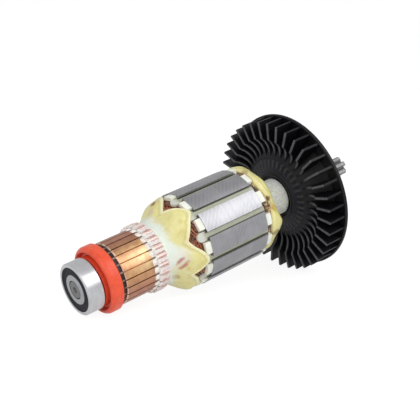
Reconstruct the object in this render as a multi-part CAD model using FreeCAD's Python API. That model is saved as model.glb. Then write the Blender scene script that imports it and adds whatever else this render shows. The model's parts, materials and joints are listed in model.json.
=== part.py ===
import FreeCAD, Part
import math
import os

# Motor armature of a hand power tool, lying at rest on its fan and its dust ring.
# Lengths are in millimetres and angles in degrees.
# Every piece is made about the shaft axis and then laid down. Stations are distances along
# the shaft from the outer face of the commutator-end bearing. Angles turn about the shaft,
# from straight up towards the side of the row's minus Y.

Vector = FreeCAD.Vector

# Ball bearing on the commutator end
BEARING_BORE = 8.0
BEARING_OUTSIDE = 22.0
BEARING_WIDTH = 7.0
BEARING_CHAMFER = 0.4
BALL_DIAMETER = 3.969
BALL_COUNT = 7
INNER_LAND = 12.6
OUTER_LAND = 17.8
RACE_RADIUS = 2.1
BALL_PLAY = 0.03
CAGE_WIDTH = 3.0
CAGE_WALL = 1.4
CAGE_BACK = 0.4
CAGE_PLAY = 0.1
SEAL_OUTSIDE = 19.0
SEAL_THICKNESS = 0.6
SEAL_RECESS = 0.3
SEAL_PLAY = 0.06
SEAL_GROOVE_DEPTH = 0.3

# Shaft
SHAFT_AT_COMMUTATOR = 10.0
SHAFT_AT_CORE = 11.0
SHAFT_AT_DRIVE_BEARING = 10.0
DRIVE_SEAT_LENGTH = 9.0
SHAFT_CHAMFER = 0.5
TOOL_OVERRUN = 1.0
CENTRE_HOLE_DIAMETER = 2.6
CENTRE_HOLE_DEPTH = 1.6

# Pinion cut on the drive end
PINION_TEETH = 6
PINION_TIP_DIAMETER = 9.2
PINION_ROOT_DIAMETER = 5.4
PINION_LENGTH = 17.0
PINION_NECK_LENGTH = 3.0
PINION_TOOTH_AT_TIP = 1.3
PINION_TOOTH_AT_ROOT = 2.4
PINION_TIP_ROUND = 0.35
PINION_FLANK_HOLLOW = 0.94

# Dust ring between the bearing and the commutator
DUST_RING_DIAMETER = 28.8
DUST_RING_WIDTH = 7.0
DUST_RING_BOSS = 12.0
DUST_RING_GAP = 0.45
DUST_RIM_ROUND = 1.9
DUST_RIM_WALL = 1.3
DUST_RIM_SETBACK = 1.3
DUST_GROOVE_DEPTH = 2.6
DUST_GROOVE_WIDTH = 1.0
DUST_GROOVE_DRAFT = 0.3
DUST_REAR_CHAMFER = 0.7

# Commutator
BAR_COUNT = 24
COMMUTATOR_DIAMETER = 26.8
BUSH_DIAMETER = 13.0
MOULDING_DIAMETER = 25.0
MOULDING_COLLAR = 2.0
MOULDING_REAR_LIP = 0.3
TRACK_LENGTH = 14.4
HOOK_ZONE = 5.5
BAR_HEIGHT = 2.8
BAR_FOOT_HEIGHT = 1.4
BAR_FOOT_SETBACK = 1.4
BAR_UNDERCUT = 1.0
BAR_CHAMFER = 0.4
SLIT_WIDTH = 0.5
LEAD_DIAMETER = 0.64
LEAD_PLAY = 0.05
HOOK_THICKNESS = 0.8
HOOK_WIDTH = 1.5
HOOK_NOSE_SETBACK = 0.5

# Lamination core and what fills its slots
SLOT_COUNT = 12
CORE_DIAMETER = 41.0
CORE_LENGTH = 30.2
CORE_FROM_COMMUTATOR = 17.9
TOOTH_WIDTH = 4.8
TOOTH_LIP = 0.8
TOOTH_LIP_TAPER = 0.5
SLOT_OPENING = 2.5
SLOT_FLOOR_RADIUS = 12.0
INSULATOR_THICKNESS = 2.8
INSULATOR_SETBACK = 0.3
LINER_THICKNESS = 0.25
LINER_OVERHANG = 1.6
WEDGE_THICKNESS = 1.2
WEDGE_PLAY = 0.05
WEDGE_FRONT_TONGUE = 4.8
WEDGE_REAR_TONGUE = 1.2

# Insulating tube over the shaft
TUBE_DIAMETER = 14.4
TUBE_COLLAR_DIAMETER = 16.6
TUBE_CHAMFER = 0.5

# Windings in front of the core, between the commutator and the insulator.
# Each pair is a distance back from the front face of the resin, and a depth below the rim
# of the resin or of the coils.
RESIN_COLLAR_LENGTH = 1.0
RESIN_NECK_SETBACK = 0.5
FRONT_RESIN_SETBACK = 0.1
FRONT_RESIN_PROFILE = [(3.6, 6.3), (6.4, 3.6), (9.6, 1.4), (13.2, 0.1)]
FRONT_RESIN_OVERLAP = 1.7
COIL_END_SETBACK = 0.25
FRONT_COIL_PROFILE = [(1.8, 6.35), (4.8, 5.15), (8.8, 1.45), (11.8, 0.25)]
STAR_POINTS = 6
STAR_VALLEY_DEPTH = 7.8
STAR_VALLEY_FLOOR = 2.6
STAR_TIP_WIDTH = 1.4

# Windings behind the core. Each pair is a distance behind the rear insulator, and a depth
# below the rim.
REAR_RESIN_SETBACK = 1.1
REAR_RESIN_PROFILE = [(4.9, 0.0), (6.8, 0.7), (8.2, 2.2), (9.0, 4.2)]
REAR_RESIN_LENGTH = 9.4
REAR_COIL_PROFILE = [(4.6, 0.6), (6.6, 2.2), (7.6, 4.6)]
REAR_COIL_LENGTH = 8.0
REAR_VALLEY_DEPTH = 2.6

# Cooling fan
FAN_BLADES = 38
FAN_DIAMETER = 72.0
FAN_FROM_REAR_INSULATOR = 20.2
FAN_AXIAL_DEPTH = 9.7
FAN_DISC_THICKNESS = 1.3
BLADE_THICKNESS = 1.0
BLADE_INSET = 0.7
BLADE_HEIGHT = 9.1
BLADE_SHOULDER_RADIUS = 27.7
BLADE_ROOT_RADIUS = 16.6
BLADE_SCALLOP = 2.9
FAN_HUB_CREST = 11.2
FAN_DISH_RADIUS = 17.2
FAN_DISH_DROP = 1.1
FAN_FLAT_RADIUS = 30.0
FAN_RECESS_DIAMETER = 18.8
FAN_RECESS_DEPTH = 1.2
FAN_WALL = 2.0
FAN_BOSS_DIAMETER = 19.0
FAN_REAR_BOSS = 4.0
FAN_BOSS_CHAMFER = 1.0
FAN_RIM_CHAMFER = 0.4

# Where each piece begins along the shaft
DUST_RING_START = BEARING_WIDTH
MOULDING_START = DUST_RING_START + DUST_RING_WIDTH
BAR_START = MOULDING_START + MOULDING_COLLAR
HOOK_START = BAR_START + TRACK_LENGTH
BAR_END = HOOK_START + HOOK_ZONE
MOULDING_END = BAR_END + MOULDING_REAR_LIP
CORE_START = MOULDING_END + CORE_FROM_COMMUTATOR
CORE_END = CORE_START + CORE_LENGTH
FRONT_FACE = CORE_START - INSULATOR_THICKNESS
REAR_FACE = CORE_END + INSULATOR_THICKNESS
FAN_FRONT = REAR_FACE + FAN_FROM_REAR_INSULATOR
FAN_REAR = FAN_FRONT + FAN_AXIAL_DEPTH
DISC_FRONT = FAN_REAR - FAN_DISC_THICKNESS
BLADE_FRONT = DISC_FRONT - BLADE_HEIGHT
DRIVE_SEAT_START = FAN_REAR + FAN_REAR_BOSS
DRIVE_SEAT_END = DRIVE_SEAT_START + DRIVE_SEAT_LENGTH
SHAFT_END = DRIVE_SEAT_END + PINION_NECK_LENGTH + PINION_LENGTH
TUBE_COLLAR_START = REAR_FACE + REAR_RESIN_LENGTH
TUBE_END = FAN_FRONT + FAN_RECESS_DEPTH

# Radii and angles that follow from the sizes above
BAR_TOP = COMMUTATOR_DIAMETER / 2
BAR_PITCH = 360 / BAR_COUNT
SLOT_PITCH = 360 / SLOT_COUNT
FIRST_SLOT = 11.25
FIRST_BAR = FIRST_SLOT + BAR_PITCH / 2
BLADE_PITCH = 360 / FAN_BLADES
FIRST_BLADE = 180 + BLADE_PITCH / 2
BLADE_TIP = FAN_DIAMETER / 2 - BLADE_INSET
CORE_RADIUS = CORE_DIAMETER / 2
LIP_FOOT = CORE_RADIUS - TOOTH_LIP
SLOT_TOP = LIP_FOOT - TOOTH_LIP_TAPER
WEDGE_FOOT = SLOT_TOP - WEDGE_THICKNESS
INSULATOR_RADIUS = CORE_RADIUS - INSULATOR_SETBACK
COIL_END_RADIUS = WEDGE_FOOT - COIL_END_SETBACK
FRONT_RESIN_RADIUS = CORE_RADIUS - FRONT_RESIN_SETBACK
REAR_RESIN_RADIUS = CORE_RADIUS - REAR_RESIN_SETBACK
RESIN_NECK_RADIUS = BAR_TOP - RESIN_NECK_SETBACK
FIRST_STAR_POINT = FIRST_SLOT + SLOT_PITCH
STAR_PITCH = 360 / STAR_POINTS

ORIGIN = Vector(0, 0, 0)
SHAFT_LINE = Vector(0, 0, 1)


def spot(station, radius, angle=0.0):
    """Point at a station along the shaft, at a radius and an angle about it."""
    turn = math.radians(angle)
    return Vector(radius * math.cos(turn), radius * math.sin(turn), station)


def closed_wire(outline, place):
    """Closed wire through the outline. A corner is a pair of numbers, and an arc is a pair of
    such pairs, a point on the way and the end. The function place makes each pair a point."""
    edges = []
    here = outline[0]
    for step in outline[1:] + [outline[0]]:
        if isinstance(step[0], tuple):
            way, end = step
            edges.append(Part.Arc(place(*here), place(*way), place(*end)).toShape())
        else:
            end = step
            if place(*here).distanceToPoint(place(*end)) > 1e-6:
                edges.append(Part.makeLine(place(*here), place(*end)))
        here = end
    return Part.Wire(edges)


def turned(outline, sweep=360.0, start=0.0):
    """Solid turned about the shaft from an outline of stations and radii."""
    face = Part.Face(closed_wire(outline, spot))
    face.rotate(ORIGIN, SHAFT_LINE, start)
    return face.revolve(ORIGIN, SHAFT_LINE, sweep)


def tube(inner_radius, outer_radius, start, end):
    """Plain ring between two radii and two stations."""
    return turned([(start, inner_radius), (start, outer_radius), (end, outer_radius), (end, inner_radius)])


def spun(shape, angle):
    """Copy of the shape, turned about the shaft."""
    copy = shape.copy()
    copy.rotate(ORIGIN, SHAFT_LINE, angle)
    return copy


def around(shape, count, first=0.0):
    """Copies of the shape, evenly spaced about the shaft."""
    return [spun(shape, first + 360 / count * number) for number in range(count)]


def resting_tilt():
    """Slope of the shaft when two blade tips and the rounded rim of the dust ring touch the floor."""
    rim_centre_station = DUST_RING_START + DUST_RIM_SETBACK + DUST_RIM_ROUND
    rim_centre_radius = DUST_RING_DIAMETER / 2 - DUST_RIM_ROUND
    half_pitch = math.radians(BLADE_PITCH / 2)
    lowest_tip = BLADE_TIP * math.cos(half_pitch) + BLADE_THICKNESS / 2 * math.sin(half_pitch)
    run = BLADE_FRONT - rim_centre_station
    rise = lowest_tip - rim_centre_radius
    to_centre = math.atan2(rise, run)
    back_to_tangent = math.asin(DUST_RIM_ROUND / math.hypot(run, rise))
    return math.degrees(to_centre - back_to_tangent)


def laid_down(shape):
    """Copy of the shape in the row's own frame, with the bearing seat's middle at the origin."""
    tilt = math.radians(resting_tilt())
    along = Vector(math.cos(tilt), 0, math.sin(tilt))
    upward = Vector(-math.sin(tilt), 0, math.cos(tilt))
    sideways = Vector(0, -1, 0)
    turn = FreeCAD.Rotation(upward, sideways, along, "ZXY")
    copy = shape.copy()
    copy.Placement = FreeCAD.Placement(along * (-BEARING_WIDTH / 2), turn).multiply(shape.Placement)
    return copy


def race_arc(land_radius, floor_radius):
    """Outline of a ball groove between two lands, as a start corner and an arc."""
    middle = BEARING_WIDTH / 2
    inwards = 1 if floor_radius > land_radius else -1
    centre = floor_radius - inwards * RACE_RADIUS
    half = math.sqrt(RACE_RADIUS ** 2 - (land_radius - centre) ** 2)
    return (middle - half, land_radius), ((middle, floor_radius), (middle + half, land_radius))


def bearing_outer_ring():
    """Outer ring with its ball groove and a step at each side for a seal."""
    outside = BEARING_OUTSIDE / 2
    seat = SEAL_OUTSIDE / 2
    land = OUTER_LAND / 2
    ball_circle = (INNER_LAND + OUTER_LAND) / 4
    floor = ball_circle + BALL_DIAMETER / 2 + BALL_PLAY
    groove_start, groove = race_arc(land, floor)
    step = SEAL_RECESS + SEAL_THICKNESS
    far = BEARING_WIDTH
    return turned([
        (BEARING_CHAMFER, outside), (0, outside - BEARING_CHAMFER), (0, seat), (step, seat), (step, land),
        groove_start, groove, (far - step, land), (far - step, seat), (far, seat),
        (far, outside - BEARING_CHAMFER), (far - BEARING_CHAMFER, outside)])


def bearing_inner_ring():
    """Inner ring, pressed on the shaft."""
    bore = BEARING_BORE / 2
    land = INNER_LAND / 2
    ball_circle = (INNER_LAND + OUTER_LAND) / 4
    floor = ball_circle - BALL_DIAMETER / 2 - BALL_PLAY
    groove_start, groove = race_arc(land, floor)
    bevel = BEARING_CHAMFER / 2
    far = BEARING_WIDTH
    return turned([
        (0, bore), (0, land - bevel), (bevel, land), groove_start, groove,
        (far - bevel, land), (far, land - bevel), (far, bore)])


def bearing_seal(facing_rear=False):
    """Rubber shield with a shallow ring groove in its outer face."""
    inner = INNER_LAND / 2 + SEAL_PLAY
    outer = SEAL_OUTSIDE / 2
    face = SEAL_RECESS
    back = face + SEAL_THICKNESS
    third = (outer - inner) / 3
    low = face + SEAL_GROOVE_DEPTH
    outline = [
        (face, inner), (face, inner + third / 2), (low, inner + third), (low, outer - third),
        (face, outer - third / 2), (face, outer), (back, outer), (back, inner)]
    if facing_rear:
        outline = [(BEARING_WIDTH - station, radius) for station, radius in outline]
    return turned(outline)


def bearing_balls():
    """The balls, midway between the lands."""
    ball = Part.makeSphere(BALL_DIAMETER / 2, spot(BEARING_WIDTH / 2, (INNER_LAND + OUTER_LAND) / 4))
    return around(ball, BALL_COUNT)


def bearing_cage():
    """Crown-shaped ring that spaces the balls, with a drilled pocket for each, open to the front."""
    middle = BEARING_WIDTH / 2
    ball_circle = (INNER_LAND + OUTER_LAND) / 4
    pocket_radius = BALL_DIAMETER / 2 + CAGE_PLAY
    back = middle + pocket_radius + CAGE_BACK
    ring = tube(ball_circle - CAGE_WALL / 2, ball_circle + CAGE_WALL / 2, back - CAGE_WIDTH, back)
    drill_start = spot(middle, ball_circle - CAGE_WALL)
    pocket = Part.makeCylinder(pocket_radius, 2 * CAGE_WALL, drill_start, Vector(1, 0, 0))
    return ring.cut(around(pocket, BALL_COUNT))


def pinion_gap():
    """Space between two pinion teeth, as a bar along the shaft, centred on the angle 0."""
    half_pitch = math.pi / PINION_TEETH
    tip = PINION_TIP_DIAMETER / 2
    root = PINION_ROOT_DIAMETER / 2
    tip_edge = half_pitch - PINION_TOOTH_AT_TIP / 2 / tip
    root_edge = half_pitch - PINION_TOOTH_AT_ROOT / 2 / root
    beyond = tip + TOOL_OVERRUN

    def corner(radius, angle):
        return Vector(radius * math.cos(angle), radius * math.sin(angle), 0)

    flank_radius = (tip + root) / 2
    flank = (tip_edge + root_edge) / 2 * PINION_FLANK_HOLLOW
    top = Part.Arc(corner(root, root_edge), corner(flank_radius, flank), corner(tip, tip_edge)).toShape()
    low = Part.Arc(corner(root, -root_edge), corner(flank_radius, -flank), corner(tip, -tip_edge)).toShape()
    floor = Part.Arc(corner(root, -root_edge), corner(root, 0), corner(root, root_edge)).toShape()
    lines = [
        Part.makeLine(corner(tip, tip_edge), corner(beyond, tip_edge)),
        Part.makeLine(corner(beyond, tip_edge), corner(beyond, -tip_edge)),
        Part.makeLine(corner(beyond, -tip_edge), corner(tip, -tip_edge))]
    wire = Part.Wire(Part.__sortEdges__([top, low, floor] + lines))
    bar = Part.Face(wire).extrude(Vector(0, 0, PINION_LENGTH + TOOL_OVERRUN))
    bar.translate(Vector(0, 0, SHAFT_END - PINION_LENGTH))
    return bar


def shaft():
    """Stepped shaft with a centre hole in each end and the pinion cut on the drive end."""
    bearing_seat = BEARING_BORE / 2
    at_commutator = SHAFT_AT_COMMUTATOR / 2
    at_core = SHAFT_AT_CORE / 2
    drive_seat = SHAFT_AT_DRIVE_BEARING / 2
    tip = PINION_TIP_DIAMETER / 2
    hole = CENTRE_HOLE_DIAMETER / 2
    chamfer = SHAFT_CHAMFER
    body = turned([
        (CENTRE_HOLE_DEPTH, 0), (0, hole), (0, bearing_seat - chamfer), (chamfer, bearing_seat),
        (BEARING_WIDTH, bearing_seat), (BEARING_WIDTH, at_commutator), (MOULDING_END, at_commutator),
        (MOULDING_END, at_core), (DRIVE_SEAT_START, at_core), (DRIVE_SEAT_START, drive_seat),
        (DRIVE_SEAT_END - chamfer, drive_seat), (DRIVE_SEAT_END, drive_seat - chamfer),
        (DRIVE_SEAT_END, tip), (SHAFT_END - PINION_TIP_ROUND, tip), (SHAFT_END, tip - PINION_TIP_ROUND),
        (SHAFT_END, hole), (SHAFT_END - CENTRE_HOLE_DEPTH, 0)])
    return body.cut(around(pinion_gap(), PINION_TEETH, 180 / PINION_TEETH))


def dust_ring():
    """Moulded ring with a rounded rim, a groove in its front face and a boss on the inner ring."""
    bore = SHAFT_AT_COMMUTATOR / 2
    front = DUST_RING_START
    rear = MOULDING_START
    face = front + DUST_RING_GAP
    rim = DUST_RING_DIAMETER / 2
    rim_front = front + DUST_RIM_SETBACK
    rim_inside = rim - DUST_RIM_ROUND - DUST_RIM_WALL / 2
    floor = face + DUST_GROOVE_DEPTH
    groove_inside = rim_inside - DUST_GROOVE_WIDTH
    bend = DUST_RIM_ROUND * (1 - math.sqrt(0.5))
    return turned([
        (front, bore), (front, DUST_RING_BOSS / 2), (face, DUST_RING_BOSS / 2 + DUST_RING_GAP),
        (face, groove_inside - DUST_GROOVE_DRAFT), (floor, groove_inside),
        (floor, rim_inside - DUST_GROOVE_DRAFT),
        (rim_front, rim - DUST_RIM_ROUND),
        ((rim_front + bend, rim - bend), (rim_front + DUST_RIM_ROUND, rim)),
        (rear - DUST_REAR_CHAMFER, rim), (rear, rim - DUST_REAR_CHAMFER), (rear, bore)])


def commutator_bush():
    """Metal bush that the moulding is formed on."""
    return tube(SHAFT_AT_COMMUTATOR / 2, BUSH_DIAMETER / 2, MOULDING_START, MOULDING_END)


def commutator_bar():
    """One copper bar with its anchor foot and its hook folded forwards over the lead."""
    top = BAR_TOP
    neck = top - BAR_HEIGHT
    foot = neck - BAR_FOOT_HEIGHT
    front = BAR_START
    rear = BAR_END
    foot_front = front + BAR_FOOT_SETBACK
    foot_rear = rear - BAR_FOOT_SETBACK
    bar_sweep = BAR_PITCH - math.degrees(SLIT_WIDTH / top)
    bar = turned([
        (front, neck), (front, top - BAR_CHAMFER), (front + BAR_CHAMFER, top), (rear, top), (rear, neck),
        (foot_rear - BAR_UNDERCUT, neck), (foot_rear, foot), (foot_front, foot),
        (foot_front + BAR_UNDERCUT, neck)], bar_sweep, -bar_sweep / 2)
    fold = top + LEAD_DIAMETER + LEAD_PLAY
    outside = fold + HOOK_THICKNESS
    root = rear - HOOK_THICKNESS
    nose = HOOK_START + HOOK_NOSE_SETBACK
    bend = HOOK_THICKNESS / 2
    hook_sweep = math.degrees(HOOK_WIDTH / fold)
    hook = turned([
        (root, neck), (root, fold), (nose, fold), (nose, outside - bend), (nose + bend, outside),
        (rear - bend, outside), (rear, outside - bend), (rear, neck)], hook_sweep, -hook_sweep / 2)
    return bar.fuse(hook).removeSplitter()


def commutator_bars():
    """All the copper bars."""
    return around(commutator_bar(), BAR_COUNT, FIRST_BAR)


def commutator_moulding(bars):
    """Black moulding that holds the bars apart, with its webs set below the brush track."""
    bush = BUSH_DIAMETER / 2
    body = MOULDING_DIAMETER / 2
    blank = turned([
        (MOULDING_START, bush), (MOULDING_START, body), (BAR_END, body),
        (MOULDING_END, body - MOULDING_REAR_LIP), (MOULDING_END, bush)])
    return blank.cut(bars)


def lead_wires():
    """A loop of wire under each hook, with both legs running back into the resin. The wire is
    drawn with six flats."""
    radius = BAR_TOP + LEAD_DIAMETER / 2
    corner = LEAD_DIAMETER / 2 / math.cos(math.pi / 6)
    side = HOOK_WIDTH / 2 + corner + LEAD_PLAY / 2
    bend_station = BAR_END - HOOK_THICKNESS - corner - LEAD_PLAY

    def at(station, offset):
        return Vector(radius, offset, station)

    path = Part.makePolygon([
        at(MOULDING_END, -side), at(bend_station, -side), at(bend_station, side), at(MOULDING_END, side)])
    flats = []
    for number in range(7):
        turn = math.radians(60 * number)
        flats.append(at(MOULDING_END, -side) + Vector(corner * math.sin(turn), corner * math.cos(turn), 0))
    loop = path.makePipeShell([Part.makePolygon(flats)], True, False, 1)
    return around(loop, BAR_COUNT, FIRST_BAR)


def half_slot(radius, inset=0.0):
    """Half the width of a slot at a radius, which leaves the teeth between slots parallel."""
    return radius * math.sin(math.pi / SLOT_COUNT) - TOOTH_WIDTH / 2 - inset


def slot_bar(top_radius, inset, start, end):
    """Space of one slot up to a radius, on the angle 0, drawn in by an inset on every wall."""
    floor = SLOT_FLOOR_RADIUS + inset
    narrow = half_slot(floor, inset)
    wide = half_slot(top_radius, inset)
    place = lambda radius, offset: Vector(radius, offset, start)
    wire = closed_wire([
        (top_radius, -wide), (top_radius, wide), (floor, narrow), (floor, -narrow)], place)
    return Part.Face(wire).extrude(Vector(0, 0, end - start))


def lamination_core():
    """Bonded lamination stack with its slots, which are closed to a narrow mouth by the tooth lips."""
    stack = tube(TUBE_DIAMETER / 2, CORE_RADIUS, CORE_START, CORE_END)
    mouth = SLOT_OPENING / 2
    wide = half_slot(SLOT_TOP)
    narrow = half_slot(SLOT_FLOOR_RADIUS)
    outside = CORE_RADIUS + TOOL_OVERRUN
    place = lambda radius, offset: Vector(radius, offset, CORE_START)
    wire = closed_wire([
        (outside, -mouth), (outside, mouth), (LIP_FOOT, mouth), (SLOT_TOP, wide),
        (SLOT_FLOOR_RADIUS, narrow), (SLOT_FLOOR_RADIUS, -narrow), (SLOT_TOP, -wide),
        (LIP_FOOT, -mouth)], place)
    slot = Part.Face(wire).extrude(Vector(0, 0, CORE_LENGTH))
    return stack.cut(around(slot, SLOT_COUNT, FIRST_SLOT))


def end_insulator(start):
    """Insulating plate on an end of the core, with an arm over each tooth."""
    plate = tube(TUBE_DIAMETER / 2, INSULATOR_RADIUS, start, start + INSULATOR_THICKNESS)
    slot = slot_bar(INSULATOR_RADIUS + TOOL_OVERRUN, 0.0, start, start + INSULATOR_THICKNESS)
    return plate.cut(around(slot, SLOT_COUNT, FIRST_SLOT))


def slot_liners():
    """Paper liner on the walls and floor of each slot, standing out at both ends."""
    start = CORE_START - LINER_OVERHANG
    end = CORE_END + LINER_OVERHANG
    outer = slot_bar(SLOT_TOP, 0.0, start, end)
    inner = slot_bar(SLOT_TOP + TOOL_OVERRUN, LINER_THICKNESS, start, end)
    return around(outer.cut(inner), SLOT_COUNT, FIRST_SLOT)


def slot_coils():
    """The coil sides that fill each liner, from one insulator's outer face to the other's."""
    coil = slot_bar(WEDGE_FOOT, LINER_THICKNESS, FRONT_FACE, REAR_FACE)
    return around(coil, SLOT_COUNT, FIRST_SLOT)


def slot_wedges():
    """Strip that closes each slot under the tooth lips, with a rounded tongue at the front."""
    half = half_slot(WEDGE_FOOT, LINER_THICKNESS + WEDGE_PLAY)
    front = CORE_START - WEDGE_FRONT_TONGUE
    rear = CORE_END + WEDGE_REAR_TONGUE
    place = lambda station, offset: Vector(WEDGE_FOOT, offset, station)
    wire = closed_wire([
        (rear, half), (front + half, half), ((front, 0), (front + half, -half)), (rear, -half)], place)
    strip = Part.Face(wire).extrude(Vector(WEDGE_THICKNESS, 0, 0))
    return around(strip, SLOT_COUNT, FIRST_SLOT)


def insulating_tube():
    """Tube between the shaft and the core, with a thicker collar behind the windings."""
    bore = SHAFT_AT_CORE / 2
    body = TUBE_DIAMETER / 2
    collar = TUBE_COLLAR_DIAMETER / 2
    return turned([
        (MOULDING_END, bore), (MOULDING_END, body), (TUBE_COLLAR_START, body),
        (TUBE_COLLAR_START, collar),
        (TUBE_END - TUBE_CHAMFER, collar), (TUBE_END, collar - TUBE_CHAMFER), (TUBE_END, bore)])


def profile_at(start, rim, profile):
    """Outline corners from a start station and a rim radius, with each pair a distance and a depth."""
    return [(start + back, rim - depth) for back, depth in profile]


def front_coil_ends():
    """Mass of crossing coil ends in front of the core."""
    body = TUBE_DIAMETER / 2
    start = MOULDING_END + FRONT_COIL_PROFILE[0][0]
    slope = profile_at(MOULDING_END, COIL_END_RADIUS, FRONT_COIL_PROFILE)
    return turned([(start, body)] + slope + [(FRONT_FACE, COIL_END_RADIUS), (FRONT_FACE, body)])


def rear_coil_ends():
    """Mass of crossing coil ends behind the core, round the tube."""
    body = TUBE_DIAMETER / 2
    end = REAR_FACE + REAR_COIL_LENGTH
    slope = profile_at(REAR_FACE, COIL_END_RADIUS, REAR_COIL_PROFILE)
    return turned([(REAR_FACE, body), (REAR_FACE, COIL_END_RADIUS)] + slope + [(end, body)])


def star_notch(edge, valley, resin_radius):
    """Tool that cuts one valley into an edge of the resin, on the angle 0.

    The notch is a trapezium seen along the radius, from the floor of the valley out to the
    corners of the two tips beside it."""
    half_floor = STAR_VALLEY_FLOOR / 2
    half_mouth = resin_radius * math.sin(math.radians(STAR_PITCH / 2)) - STAR_TIP_WIDTH / 2
    beyond = edge + math.copysign(TOOL_OVERRUN, edge - valley)
    inside = TUBE_DIAMETER / 2
    place = lambda station, offset: Vector(inside, offset, station)
    wire = closed_wire([
        (valley, -half_floor), (edge, -half_mouth), (beyond, -half_mouth),
        (beyond, half_mouth), (edge, half_mouth), (valley, half_floor)], place)
    return Part.Face(wire).extrude(Vector(CORE_RADIUS, 0, 0))


def front_winding_resin(wedges, insulator):
    """Resin shell over the front coil ends: a neck, a flare and a star of points over the slots."""
    start = MOULDING_END
    end = FRONT_FACE + FRONT_RESIN_OVERLAP
    neck_start = start + RESIN_COLLAR_LENGTH
    collar_radius = BAR_TOP + LEAD_DIAMETER
    flare = profile_at(start, FRONT_RESIN_RADIUS, FRONT_RESIN_PROFILE)
    inside = profile_at(start, COIL_END_RADIUS, FRONT_COIL_PROFILE)
    shell = turned(
        [(start, TUBE_DIAMETER / 2), (start, collar_radius), (neck_start, RESIN_NECK_RADIUS)]
        + flare + [(end, FRONT_RESIN_RADIUS), (end, SLOT_TOP), (FRONT_FACE, SLOT_TOP)]
        + [(FRONT_FACE, COIL_END_RADIUS)] + inside[::-1] + [(inside[0][0], TUBE_DIAMETER / 2)])
    notch = star_notch(end, end - STAR_VALLEY_DEPTH, FRONT_RESIN_RADIUS)
    notches = around(notch, STAR_POINTS, FIRST_STAR_POINT + STAR_PITCH / 2)
    return shell.cut(notches + wedges + [insulator])


def rear_winding_resin():
    """Resin ring over the rear coil ends, with a shallow valley between its lobes."""
    end = TUBE_COLLAR_START
    body = TUBE_DIAMETER / 2
    crown = profile_at(REAR_FACE, REAR_RESIN_RADIUS, REAR_RESIN_PROFILE)
    inside = profile_at(REAR_FACE, COIL_END_RADIUS, REAR_COIL_PROFILE)
    inside_end = REAR_FACE + REAR_COIL_LENGTH
    shell = turned(
        [(REAR_FACE, COIL_END_RADIUS), (REAR_FACE, REAR_RESIN_RADIUS)] + crown
        + [(end, TUBE_COLLAR_DIAMETER / 2), (end, body), (inside_end, body)] + inside[::-1])
    notch = star_notch(REAR_FACE, REAR_FACE + REAR_VALLEY_DEPTH, REAR_RESIN_RADIUS)
    return shell.cut(around(notch, STAR_POINTS, FIRST_STAR_POINT + STAR_PITCH / 2))


def fan_blade():
    """One radial blade on the angle 0: tall at the rim, scalloped in front of the hub dish."""
    dish = FAN_FRONT + FAN_DISH_DROP
    deep = DISC_FRONT + FAN_DISC_THICKNESS / 2
    scallop_radius = (BLADE_SHOULDER_RADIUS + BLADE_ROOT_RADIUS) / 2
    place = lambda station, radius: Vector(radius, -BLADE_THICKNESS / 2, station)
    wire = closed_wire([
        (deep, BLADE_TIP), (BLADE_FRONT, BLADE_TIP), (BLADE_FRONT, BLADE_SHOULDER_RADIUS),
        ((BLADE_FRONT + BLADE_SCALLOP, scallop_radius), (dish, BLADE_ROOT_RADIUS)),
        (dish + FAN_WALL / 2, BLADE_ROOT_RADIUS), (deep, FAN_FLAT_RADIUS - FAN_WALL / 2)], place)
    return Part.Face(wire).extrude(Vector(0, BLADE_THICKNESS, 0))


def fan():
    """Moulded fan: a hub with a recess round the tube, a dished web, a flat disc and its blades."""
    bore = SHAFT_AT_CORE / 2
    rim = FAN_DIAMETER / 2
    recess = FAN_RECESS_DIAMETER / 2
    floor = FAN_FRONT + FAN_RECESS_DEPTH
    dish = FAN_FRONT + FAN_DISH_DROP
    boss = FAN_BOSS_DIAMETER / 2
    round_off = (FAN_HUB_CREST - recess) / 2
    rear_of_dish = dish + FAN_WALL
    body = turned([
        (floor, bore), (floor, recess), (FAN_FRONT + round_off, recess),
        ((FAN_FRONT, recess + round_off), (FAN_FRONT + round_off / 2, FAN_HUB_CREST + round_off)),
        (dish, FAN_DISH_RADIUS), (DISC_FRONT, FAN_FLAT_RADIUS), (DISC_FRONT, rim - FAN_RIM_CHAMFER),
        (DISC_FRONT + FAN_RIM_CHAMFER, rim),
        (FAN_REAR, rim), (FAN_REAR, FAN_FLAT_RADIUS - FAN_WALL / 2),
        (rear_of_dish, FAN_DISH_RADIUS - FAN_WALL / 2), (rear_of_dish, boss),
        (DRIVE_SEAT_START, boss - FAN_BOSS_CHAMFER), (DRIVE_SEAT_START, bore)])
    return body.multiFuse(around(fan_blade(), FAN_BLADES, FIRST_BLADE)).removeSplitter()


def write_piece(name, solids):
    """Write one piece, or a group of like pieces, in the row's own frame."""
    if isinstance(solids, list):
        shape = Part.makeCompound([laid_down(solid) for solid in solids])
    else:
        shape = laid_down(solids)
    shape.exportStep(os.path.join("parts", name + ".step"))
    print(name, len(shape.Solids), round(shape.Volume, 1), shape.isValid())


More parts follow.
